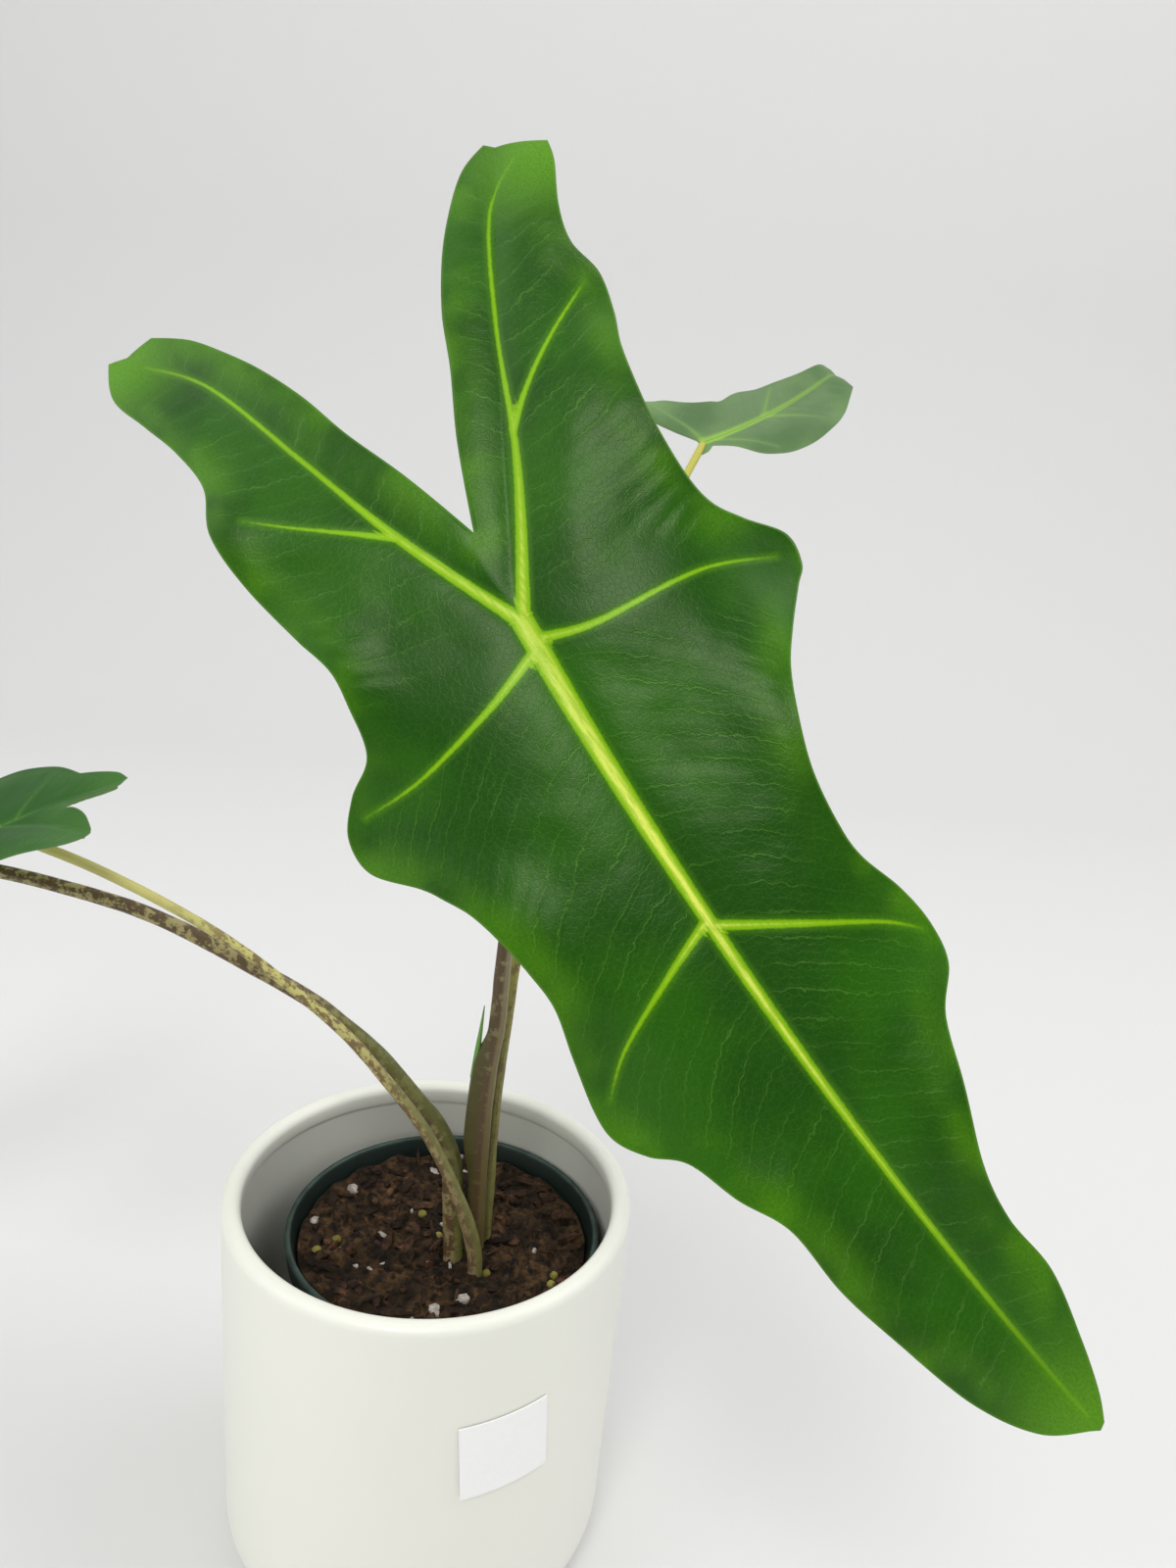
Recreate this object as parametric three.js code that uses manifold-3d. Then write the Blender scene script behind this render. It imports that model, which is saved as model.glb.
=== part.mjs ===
// A sarian alocasia in its pots: an open white cover pot, the green growing pot that stands in it,
// soil, and four leaves on spotted stalks that rise from one tuber. Millimetres, +Z up. The origin
// is the centre of the cover pot's foot, and the largest leaf leans out over -Y.
import * as THREE from 'three';
import { mergeVertices } from 'three/addons/utils/BufferGeometryUtils.js';
import Module from 'manifold-3d';

const wasm = await Module();
wasm.setup();

const CLEARANCE = 0.3;

// Cover pot: a cylinder of satin ceramic that draws in slightly towards its rounded foot.
const COVER_RADIUS = 63.5;
const COVER_HEIGHT = 127;
const COVER_TAPER = 0.013;
const COVER_WALL = 6;
const COVER_FLOOR = 7;
const COVER_LIP = 2.8;
const COVER_FOOT_ROUNDING = 17;
const COVER_LEDGE_DEPTH = 7;
const COVER_LEDGE_STEP = 0.9;

// Growing pot: thin green plastic, standing off centre on the cover pot's floor.
const GROW_CENTRE = [4.4, 5.6];
const GROW_RIM_RADIUS = 50.3;
const GROW_RIM_Z = 108.5;
const GROW_RIM_BAND = 8;
const GROW_FOOT_RADIUS = 36.6;
const GROW_WALL = 1.4;
const GROW_SIDES = 28;
const DRAIN_HOLES = 6;
const DRAIN_HOLE_RADIUS = 4;
const DRAIN_RING_RADIUS = 27;

// Soil: filled to a little under the growing pot's rim, with grains of perlite and bark in its top.
const SOIL_LEVEL = 103.6;
const SOIL_ROUGHNESS = 0.9;
const PERLITE_GRAINS = 15;
const PERLITE_RADIUS = 1.9;
const BARK_CHIPS = 7;
const BARK_LENGTH = 8;

// Tuber: the upright rootstock that all four stalks grow from, just under the soil.
const TUBER_CENTRE = [14.5, -3];
const TUBER_TOP_Z = 91.7;
const TUBER_HEIGHT = 26;
const TUBER_RADIUS = 12;
const STALK_ROOT_Z = 92;

// Blank paper label on the cover pot: its middle's angle from +X, height and size.
const LABEL_ANGLE = -60;
const LABEL_Z = 81.5;
const LABEL_WIDTH = 27;
const LABEL_HEIGHT = 25;
const LABEL_TILT = 0.07;
const LABEL_THICKNESS = 0.4;

// The swelling behind a blade's joint, as a share of the midrib's radius there.
const HUB_SHARE = 1.3;
const BLADE_THICKNESS = 0.8;

// A grown leaf in its own plane: s runs along the midrib from the stalk's joint towards the tip, and
// w runs out from it, right positive. Each margin point is paired with a foot on the midrib.
const GROWN = {
  length: 194,
  lobe: 100,
  half: 50,
  bow: 5,
  costaRight: 0.6,
  costaLeft: 0.34,
  feet: [-22, -14, -6, 0, 7, 14, 21, 27, 34, 41, 49, 58, 67, 75, 84, 93, 102, 112, 122, 134, 147, 160,
    174, 186, 194],
  right: [[-28, 48], [-19, 46], [-7, 45], [1, 46], [7, 50], [14, 56], [21, 55], [25, 51], [32, 44],
    [39, 38], [48, 33], [58, 29], [69, 27], [77, 27], [87, 30], [96, 31], [104, 29], [111, 22],
    [122, 17], [136, 11], [148, 9], [161, 10], [176, 7], [187, 4], [193, 1.5]],
  left: [[-24, -40], [-15, -38], [-7, -39], [3, -42], [7, -50], [13, -56], [22, -56], [32, -48],
    [37, -45], [43, -42], [51, -40], [59, -39], [67, -39], [77, -42], [88, -45], [95, -45],
    [101, -41], [106, -35], [116, -31], [126, -26], [141, -25], [155, -22], [174, -17], [187, -10],
    [193, -1.5]],
  rightLobe: {
    inner: [[-104, 57], [-100, 49], [-92, 41], [-82, 33], [-69, 25], [-56, 19], [-41, 11]],
    outer: [[-92, 68], [-86, 66], [-75, 60], [-66, 57], [-57, 58], [-47, 55], [-38, 51]],
  },
  leftLobe: {
    inner: [[-116, -31], [-107, -24], [-97, -19], [-85, -14], [-72, -10], [-58, -7], [-41, -2]],
    outer: [[-118, -43], [-105, -46], [-92, -43], [-80, -40], [-67, -39], [-55, -43], [-41, -43]],
  },
  veins: [
    { route: [[0, 0], [45, 0], [96, 0], [150, 0], [190, 0]], onMidrib: true, from: 2.2, to: 0.6 },
    { route: [[-0.8, 0.5], [-20, 13], [-36, 22], [-60, 33], [-86, 48], [-94, 60]], from: 1.5, to: 0.5 },
    { route: [[-0.8, -0.3], [-31, -11], [-59, -18], [-91, -26], [-110, -36]], from: 1.5, to: 0.5 },
    { route: [[4, 0], [9, 12], [12, 36], [17, 51]], from: 1.1, to: 0.5 },
    { route: [[6, -1], [11, -16], [14, -35], [12, -50]], from: 1.1, to: 0.5 },
    { route: [[71, -5], [81, 10], [90, 23], [96, 29]], from: 1.0, to: 0.5 },
    { route: [[70, -5], [74, -16], [81, -32], [88, -41]], from: 1.0, to: 0.5 },
    { route: [[-36, 22], [-43, 31], [-53, 47], [-57, 54]], from: 0.8, to: 0.5 },
    { route: [[-31, -11], [-42, -23], [-54, -36]], from: 0.8, to: 0.5 },
  ],
};

// A young leaf: shorter, with blunt lobes that are still joined for most of their length.
const YOUNG = {
  length: 88,
  lobe: 36,
  half: 30,
  bow: 1,
  costaRight: 0.5,
  costaLeft: 0.4,
  feet: [-19, -10, -2, 6, 15, 25, 35, 46, 58, 70, 81, 88],
  right: [[-22, 24], [-13, 24], [-4, 26], [5, 28], [15, 28], [25, 27], [36, 25], [47, 20], [59, 15],
    [71, 11], [81, 6], [87, 1.5]],
  left: [[-20, -18.5], [-12, -26], [-3, -30], [6, -32], [15, -31], [25, -27], [36, -26], [47, -22],
    [59, -15], [70, -10], [81, -6], [87, -1.5]],
  rightLobe: {
    inner: [[-29, 12], [-27, 7], [-23, 2.5]],
    outer: [[-30, 16], [-29, 20], [-26, 23]],
  },
  leftLobe: {
    inner: [[-34, -6], [-30, -4.5], [-24, -2.5]],
    outer: [[-34.5, -12], [-31.5, -15], [-26, -17]],
  },
  veins: [
    { route: [[0, 0], [30, 0], [60, 0], [85, 0]], onMidrib: true, from: 1.5, to: 0.5 },
    { route: [[-0.5, 0.3], [-15, 8], [-28, 16]], from: 0.9, to: 0.5 },
    { route: [[-0.5, -0.2], [-16, -5], [-32, -8]], from: 0.9, to: 0.5 },
    { route: [[-5, -1.6], [-8, -12], [-12, -23]], from: 0.7, to: 0.5 },
    { route: [[3, 0], [9, 12], [12, 25]], from: 0.8, to: 0.5 },
    { route: [[3, 0], [8, -13], [10, -28]], from: 0.8, to: 0.5 },
    { route: [[30, 0], [37, 9], [41, 19]], from: 0.7, to: 0.5 },
    { route: [[30, 0], [37, -10], [42, -20]], from: 0.7, to: 0.5 },
  ],
};

// The smallest leaf: one lobe stands out far, the other is stunted, and the tip folds down.
const SMALLEST = {
  length: 70,
  lobe: 12,
  half: 30,
  bow: 4.4,
  costaRight: 4,
  costaLeft: 1,
  feet: [-1, 5, 11, 18, 26, 34, 41, 47, 53, 59, 65, 70],
  right: [[9.8, 19.8], [14, 15], [17.4, 12], [26.5, 13.6], [33, 10], [38.5, 8], [44, 6.5], [49, 5.4],
    [54, 5], [59, 5], [65, 4], [69.5, 1.5]],
  left: [[1, -4], [6.6, -9.8], [11.7, -18], [17.6, -22], [24.4, -24.8], [32, -26.3], [40.5, -25.2],
    [47, -22.5], [52, -19], [58, -14], [64, -8.5], [69.5, -1.5]],
  rightLobe: {
    inner: [[-7.3, 29.5], [-9, 24], [-5.4, 12]],
    outer: [[-4, 30.3], [2, 28.2], [6.5, 23.5]],
  },
  leftLobe: {
    inner: [[-5.5, -3], [-3.5, -1.5]],
    outer: [[-5, -5], [-2, -5.5]],
  },
  veins: [
    { route: [[0, 0], [26, 0], [48, 0], [67, 0]], onMidrib: true, from: 1.3, to: 0.5 },
    { route: [[0.2, 0.6], [-0.5, 12], [-3.5, 27]], from: 0.8, to: 0.5 },
    { route: [[4.5, -2.5], [12, -10.5], [19, -19]], from: 0.7, to: 0.5 },
    { route: [[24, -4], [31, 2], [36, 6.5]], from: 0.7, to: 0.5 },
    { route: [[26, -5], [34, -13], [39, -20]], from: 0.7, to: 0.5 },
  ],
};

// Where each leaf hangs. Tipward and face are directions: down the midrib at the stalk's joint, and
// out of the upper face. Bends are in radians over the blade's length, and swells are rises of the
// blade at a place, each with its reach: [s, w, rise, reach].
const LEAVES = [
  {
    name: 'leaf_front',
    kind: GROWN,
    junction: [22.6, -80.6, 319],
    tipward: [0.638, -0.388, -0.665],
    face: [-0.119, -0.903, 0.413],
    scale: 1,
    mirror: 1,
    bend: 0.2,
    tipBend: 0.14,
    tipStart: 120,
    lobeBend: 0.28,
    fold: 2.6,
    curl: 4.5,
    swells: [[20, 56, -7, 17], [97, 32, -6, 16], [15, -57, -7, 17], [92, -46, -6, 17], [52, 36, 2.5, 14],
      [52, -42, 2.5, 14], [-52, 58, -4, 14], [-55, -44, 3, 12], [130, 14, 2, 14], [125, -28, 2, 14],
      [-20, 48, 2, 13], [-12, -40, 2, 13]],
    rowsPerPoint: 1.4,
    ribs: 9,
  },
  {
    name: 'leaf_far_left',
    kind: GROWN,
    junction: [-234, 26, 200],
    tipward: [-0.5, -0.15, -0.85],
    face: [-0.78, -0.2, 0.57],
    scale: 0.86,
    mirror: -1,
    bend: 0.3,
    tipBend: 0.2,
    tipStart: 120,
    lobeBend: 0.35,
    fold: 3,
    curl: 5,
    swells: [[20, 56, -6, 18], [97, 32, -5, 16], [15, -57, -8, 18], [92, -46, -5, 17], [55, 36, 3, 14],
      [50, -42, 2, 14], [-52, 58, -3, 14], [-58, -44, 3, 12], [128, 14, 2, 14], [125, -28, 3, 14]],
    rowsPerPoint: 1,
    ribs: 7,
  },
  {
    name: 'leaf_left',
    kind: YOUNG,
    junction: [-122.9, -15.6, 239.2],
    tipward: [-0.93, -0.1, -0.35],
    face: [0, -0.2, 1],
    scale: 1,
    mirror: 1,
    bend: -0.3,
    tipBend: 0.4,
    tipStart: 60,
    lobeBend: 0.05,
    fold: 1.8,
    curl: -0.8,
    swells: [[-28, 16, -2, 8], [10, 28, -1.5, 9], [30, 26, 2, 10], [-31, -9, -1, 8], [12, -31, -1.5, 9],
      [32, -26, 2, 10], [60, 14, -1.5, 10], [55, -16, 1.5, 9]],
    rowsPerPoint: 1.3,
    ribs: 8,
  },
  {
    name: 'leaf_back',
    kind: SMALLEST,
    junction: [69.6, 129, 357.6],
    tipward: [0.771, 0.381, 0.51],
    face: [-0.165, -0.653, 0.739],
    scale: 1,
    mirror: 1,
    bend: 0,
    tipBend: 3.2,
    tipStart: 52,
    lobeBend: 0,
    fold: 1.5,
    curl: 3,
    swells: [[-5, 30, 2.5, 12], [18, 15, 1.5, 7], [31, 15, -1.5, 8], [22, -21, -1.5, 9],
      [38, -22, 1, 8]],
    rowsPerPoint: 1.3,
    ribs: 8,
  },
];

// Stalks, from the tuber up. The sheath is a stalk's winged foot: its wing widens between the first
// two shares of the stalk's length and fades between the last two, in a shoulder. The wing's angle
// is counted from sideways.
const STALKS = [
  {
    name: 'stalk_front',
    leaf: 'leaf_front',
    route: [[14.7, -1, STALK_ROOT_Z], [14.8, -1, 101], [14.9, -1, 117], [14.7, -0.8, 138],
      [15.1, -0.6, 156], [16, -0.3, 171.4], [17.4, 0, 184], [18.1, 0.2, 207], [20, -4, 242],
      [22, -16, 275], [23.6, -36, 302], [24, -58, 316], [22.6, -80.6, 319]],
    sideways: [1, 0, 0],
    foot: 3.2,
    top: 2.0,
    sheath: [0.14, 0.2, 0.29, 0.34],
    wing: 0.9,
    wingAngle: 180,
    steps: 21,
  },
  {
    name: 'stalk_back',
    leaf: 'leaf_back',
    route: [[17.8, 5.6, STALK_ROOT_Z], [17.8, 5.6, 101], [17.6, 5.8, 127], [18, 6.2, 145], [18.5, 7, 161],
      [19.7, 8.5, 179], [21.2, 12, 202], [25, 22, 234], [34, 44, 274], [48, 76, 312], [61, 107, 341],
      [69.6, 129, 357.6]],
    sideways: [0.9, -0.43, 0],
    foot: 2.0,
    top: 1.4,
    sheath: [0.04, 0.1, 0.11, 0.16],
    wing: 0.3,
    wingAngle: 90,
    steps: 19,
  },
  {
    name: 'stalk_left',
    leaf: 'leaf_left',
    route: [[16.4, -11.3, STALK_ROOT_Z], [16.6, -11.4, 101], [16.2, -11.4, 109], [13.6, -11.2, 120],
      [7.7, -10.5, 135.3], [-1.4, -9.6, 152], [-15, -8.8, 169], [-26.5, -8.5, 181.6],
      [-42.2, -8.5, 194.6], [-55.8, -8.6, 204.9], [-72.9, -9.6, 215.7], [-98, -12.2, 228.9],
      [-122.9, -15.6, 239.2]],
    sideways: [0, -1, 0],
    foot: 2.2,
    top: 1.4,
    sheath: [0.04, 0.12, 0.14, 0.2],
    wing: 0.25,
    wingAngle: 90,
    steps: 22,
  },
  {
    name: 'stalk_far_left',
    leaf: 'leaf_far_left',
    route: [[9.1, -4.8, STALK_ROOT_Z], [9, -4.8, 101], [8.1, -4, 113.5], [7, -2.6, 125], [5.6, -0.6, 136],
      [0.3, 1, 147], [-7.3, 2, 155.3], [-18.6, 2.6, 168], [-35.8, 2.4, 183.4], [-58.4, 2, 196.2],
      [-88.7, 1.6, 210.1], [-117.3, 1, 217.3], [-134, 1, 220], [-158, 3, 221.4], [-184, 9, 219],
      [-211, 18, 211], [-234, 26, 200]],
    sideways: [0, -1, 0],
    foot: 3.0,
    top: 2.0,
    sheath: [0.06, 0.14, 0.27, 0.32],
    wing: 0.35,
    wingAngle: 90,
    steps: 25,
  },
];

// The tip of the next leaf, a thin green spear beside the front stalk where its sheath opens.
const SPEAR_FOOT = [11.4, -0.2, 166];
const SPEAR_TIP = [13.3, -0.2, 190.5];
const SPEAR_RADIUS = 1.2;

const COLOURS = {
  ceramic: [0xe3e1da, 0.45],
  growingPot: [0x14352a, 0.5],
  soil: [0x2b1a10, 0.95],
  tuber: [0x6b5238, 0.9],
  label: [0xf4f4f2, 0.8],
  leaf: [0x1f5a1c, 0.3],
  stalk: [0x8a8250, 0.5],
  spear: [0x4f9a3a, 0.4],
};

const vector = (a) => new THREE.Vector3(...a);

// Seeded draws in 0..1, so that the soil's grains always lie the same way.
function drawsFrom(seed) {
  let state = seed;
  return () => {
    state = (state * 1664525 + 1013904223) % 4294967296;
    return state / 4294967296;
  };
}

// Six times the volume that triangles enclose, which is negative where they face inwards.
function signedVolume(points, triangles) {
  const [a, b, c] = [new THREE.Vector3(), new THREE.Vector3(), new THREE.Vector3()];
  let total = 0;
  for (let i = 0; i < triangles.length; i += 3) {
    a.fromArray(points, 3 * triangles[i]);
    b.fromArray(points, 3 * triangles[i + 1]);
    c.fromArray(points, 3 * triangles[i + 2]);
    total += a.dot(b.cross(c));
  }
  return total;
}

// A closed geometry as a solid: its shared vertices merged, flat triangles dropped, facing out.
function solidOf(geometry) {
  geometry.deleteAttribute('normal');
  geometry.deleteAttribute('uv');
  const merged = mergeVertices(geometry, 1e-4);
  const points = merged.attributes.position.array;
  const index = merged.index.array;
  const triangles = [];
  for (let i = 0; i < index.length; i += 3) {
    const [a, b, c] = [index[i], index[i + 1], index[i + 2]];
    if (a !== b && b !== c && c !== a) triangles.push(a, b, c);
  }
  if (signedVolume(points, triangles) < 0) triangles.reverse();
  const mesh = new wasm.Mesh({
    numProp: 3,
    vertProperties: new Float32Array(points),
    triVerts: new Uint32Array(triangles),
  });
  return new wasm.Manifold(mesh);
}

function geometryOf(solid) {
  const mesh = solid.getMesh();
  const geometry = new THREE.BufferGeometry();
  geometry.setAttribute('position', new THREE.BufferAttribute(new Float32Array(mesh.vertProperties), 3));
  geometry.setIndex(new THREE.BufferAttribute(new Uint32Array(mesh.triVerts), 1));
  return geometry;
}

// The largest of the bodies that a cut leaves, with loose scraps dropped.
function largestBody(solid) {
  return solid.decompose().reduce((best, next) => (next.volume() > best.volume() ? next : best));
}

// A profile of [radius, height] points turned about the Z axis.
function turned(profile, sides) {
  const points = profile.map(([r, z]) => new THREE.Vector2(r, z));
  return solidOf(new THREE.LatheGeometry(points, sides).rotateX(Math.PI / 2));
}

// Points on a quarter circle of a profile, both ends included.
function rounding(centreR, centreZ, radius, startDegrees, endDegrees, steps) {
  return Array.from({ length: steps + 1 }, (_, i) => {
    const angle = THREE.MathUtils.degToRad(startDegrees + ((endDegrees - startDegrees) * i) / steps);
    return [centreR + radius * Math.cos(angle), centreZ + radius * Math.sin(angle)];
  });
}

const coverRadiusAt = (z) => COVER_RADIUS - COVER_TAPER * (COVER_HEIGHT - z);

function makeCoverPot() {
  const footRadius = coverRadiusAt(COVER_FOOT_ROUNDING) - COVER_FOOT_ROUNDING;
  const lipZ = COVER_HEIGHT - COVER_LIP;
  const innerTop = COVER_RADIUS - COVER_WALL;
  const ledgeZ = COVER_HEIGHT - COVER_LEDGE_DEPTH;
  const innerLow = coverRadiusAt(0) - COVER_WALL;
  const innerRounding = 12;
  return turned([
    [0, 0],
    ...rounding(footRadius, COVER_FOOT_ROUNDING, COVER_FOOT_ROUNDING, -90, 0, 4),
    ...rounding(COVER_RADIUS - COVER_LIP, lipZ, COVER_LIP, 0, 90, 2),
    ...rounding(innerTop + COVER_LIP, lipZ, COVER_LIP, 90, 180, 2),
    [innerTop, ledgeZ + 0.8],
    [innerTop + COVER_LEDGE_STEP, ledgeZ - 0.8],
    ...rounding(innerLow - innerRounding, COVER_FLOOR + innerRounding, innerRounding, 0, -90, 2),
    [0, COVER_FLOOR],
  ], 40);
}

function makeGrowingPot() {
  const footZ = COVER_FLOOR + CLEARANCE;
  const bandZ = GROW_RIM_Z - GROW_RIM_BAND;
  const wallTop = GROW_RIM_RADIUS - 2.4;
  const shell = turned([
    [0, footZ + 1.5],
    [GROW_FOOT_RADIUS - 9, footZ + 1.5],
    [GROW_FOOT_RADIUS - 7, footZ],
    [GROW_FOOT_RADIUS, footZ],
    [wallTop, bandZ],
    [GROW_RIM_RADIUS - 0.8, bandZ],
    [GROW_RIM_RADIUS, GROW_RIM_Z - 1],
    [GROW_RIM_RADIUS - 0.6, GROW_RIM_Z],
    [GROW_RIM_RADIUS - GROW_WALL - 0.6, GROW_RIM_Z],
    [wallTop - GROW_WALL, bandZ],
    [GROW_FOOT_RADIUS - GROW_WALL, footZ + 1.5 + GROW_WALL],
    [0, footZ + 1.5 + GROW_WALL],
  ], GROW_SIDES);
  const drills = Array.from({ length: DRAIN_HOLES }, (_, i) => {
    const angle = (2 * Math.PI * i) / DRAIN_HOLES;
    const drill = new THREE.CylinderGeometry(DRAIN_HOLE_RADIUS, DRAIN_HOLE_RADIUS, 12, 10);
    drill.rotateX(Math.PI / 2);
    drill.translate(DRAIN_RING_RADIUS * Math.cos(angle), DRAIN_RING_RADIUS * Math.sin(angle), footZ + 2);
    return solidOf(drill);
  });
  return shell.subtract(wasm.Manifold.union(drills)).translate([...GROW_CENTRE, 0]);
}

// The inside radius of the growing pot's wall at a height, which the soil fills.
function growingPotInside(z) {
  const footZ = COVER_FLOOR + CLEARANCE + 1.5 + GROW_WALL;
  const bandZ = GROW_RIM_Z - GROW_RIM_BAND;
  const share = (z - footZ) / (bandZ - footZ);
  const low = GROW_FOOT_RADIUS - GROW_WALL;
  return low + share * (GROW_RIM_RADIUS - 2.4 - GROW_WALL - low);
}

// The soil's top: level, with low waves, and raised a little round the stalks.
function soilHeight(x, y) {
  const waves = Math.sin(0.31 * x + 1.1) * Math.cos(0.27 * y - 0.4) + 0.6 * Math.sin(0.53 * y + 0.19 * x);
  const crown = Math.exp(-((x - TUBER_CENTRE[0]) ** 2 + (y - TUBER_CENTRE[1]) ** 2) / 260);
  return SOIL_LEVEL + SOIL_ROUGHNESS * waves + 1.2 * crown - 0.6;
}

function makeSoil(crown) {
  const sides = GROW_SIDES;
  const rings = 3;
  const bandZ = GROW_RIM_Z - GROW_RIM_BAND;
  const bottomZ = COVER_FLOOR + CLEARANCE + 1.5 + GROW_WALL + CLEARANCE;
  const topRadius = growingPotInside(bandZ) - CLEARANCE;
  const positions = [];
  const index = [];
  const ringOf = (radius, height) => {
    const start = positions.length / 3;
    for (let k = 0; k < sides; k++) {
      const angle = (2 * Math.PI * k) / sides;
      const x = GROW_CENTRE[0] + radius * Math.cos(angle);
      const y = GROW_CENTRE[1] + radius * Math.sin(angle);
      positions.push(x, y, height(x, y));
    }
    return start;
  };
  const fan = (start, centreZ) => {
    positions.push(...GROW_CENTRE, centreZ);
    const centre = positions.length / 3 - 1;
    for (let k = 0; k < sides; k++) index.push(start + k, start + ((k + 1) % sides), centre);
  };
  const band = (low, high) => {
    for (let k = 0; k < sides; k++) {
      const next = (k + 1) % sides;
      index.push(low + k, low + next, high + next, low + k, high + next, high + k);
    }
  };
  const bottom = ringOf(growingPotInside(bottomZ) - CLEARANCE, () => bottomZ);
  positions.push(...GROW_CENTRE, bottomZ);
  const floorCentre = positions.length / 3 - 1;
  for (let k = 0; k < sides; k++) index.push(bottom + ((k + 1) % sides), bottom + k, floorCentre);
  let previous = ringOf(topRadius, () => bandZ - 1.5);
  band(bottom, previous);
  for (let i = 0; i < rings; i++) {
    const ring = ringOf(topRadius * (1 - i / rings), soilHeight);
    band(previous, ring);
    previous = ring;
  }
  fan(previous, soilHeight(...GROW_CENTRE));
  const geometry = new THREE.BufferGeometry();
  geometry.setAttribute('position', new THREE.Float32BufferAttribute(positions, 3));
  geometry.setIndex(index);

  const draw = drawsFrom(7);
  const scattered = (count, shape) => Array.from({ length: count }, () => {
    const radius = (topRadius - 4) * Math.sqrt(draw());
    const angle = 2 * Math.PI * draw();
    const x = GROW_CENTRE[0] + radius * Math.cos(angle);
    const y = GROW_CENTRE[1] + radius * Math.sin(angle);
    const grain = shape();
    grain.rotateZ(Math.PI * draw());
    grain.translate(x, y, soilHeight(x, y) + 0.3);
    return solidOf(grain);
  });
  const perlite = scattered(PERLITE_GRAINS, () => {
    const size = PERLITE_RADIUS * (0.7 + 0.5 * draw());
    return new THREE.IcosahedronGeometry(size, 0).rotateX(draw());
  });
  const bark = scattered(BARK_CHIPS, () => {
    const length = BARK_LENGTH * (0.6 + 0.6 * draw());
    return new THREE.BoxGeometry(length, 2.6, 2.2).rotateY(0.25 * (draw() - 0.5));
  });
  const heap = wasm.Manifold.union([solidOf(geometry), ...perlite, ...bark]);
  return largestBody(heap.subtract(crown));
}

function makeTuber(grow) {
  const radius = TUBER_RADIUS + grow;
  const bottomZ = TUBER_TOP_Z - TUBER_HEIGHT - grow;
  const topZ = TUBER_TOP_Z + grow;
  const height = topZ - bottomZ;
  const body = turned([
    [0, bottomZ],
    [0.55 * radius, bottomZ + 0.08 * height],
    [0.9 * radius, bottomZ + 0.3 * height],
    [radius, bottomZ + 0.55 * height],
    [0.94 * radius, bottomZ + 0.8 * height],
    [0.85 * radius, topZ],
    [0, topZ],
  ], 16);
  return body.translate([...TUBER_CENTRE, 0]);
}

// A curved sheet of paper that follows the pot's wall, a clearance away from it.
function makeLabel() {
  const columns = 8;
  const innerRadius = coverRadiusAt(LABEL_Z + LABEL_HEIGHT / 2) + CLEARANCE;
  const sheet = new THREE.BoxGeometry(LABEL_WIDTH, LABEL_THICKNESS, LABEL_HEIGHT, columns, 1, 1);
  const place = sheet.attributes.position;
  for (let i = 0; i < place.count; i++) {
    const along = place.getX(i);
    const up = place.getZ(i);
    const turnedAlong = along - LABEL_TILT * up;
    const turnedUp = up + LABEL_TILT * along;
    const radius = innerRadius + LABEL_THICKNESS / 2 - place.getY(i);
    const angle = THREE.MathUtils.degToRad(LABEL_ANGLE) + turnedAlong / innerRadius;
    place.setXYZ(i, radius * Math.cos(angle), radius * Math.sin(angle), LABEL_Z + turnedUp);
  }
  return solidOf(sheet);
}

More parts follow.
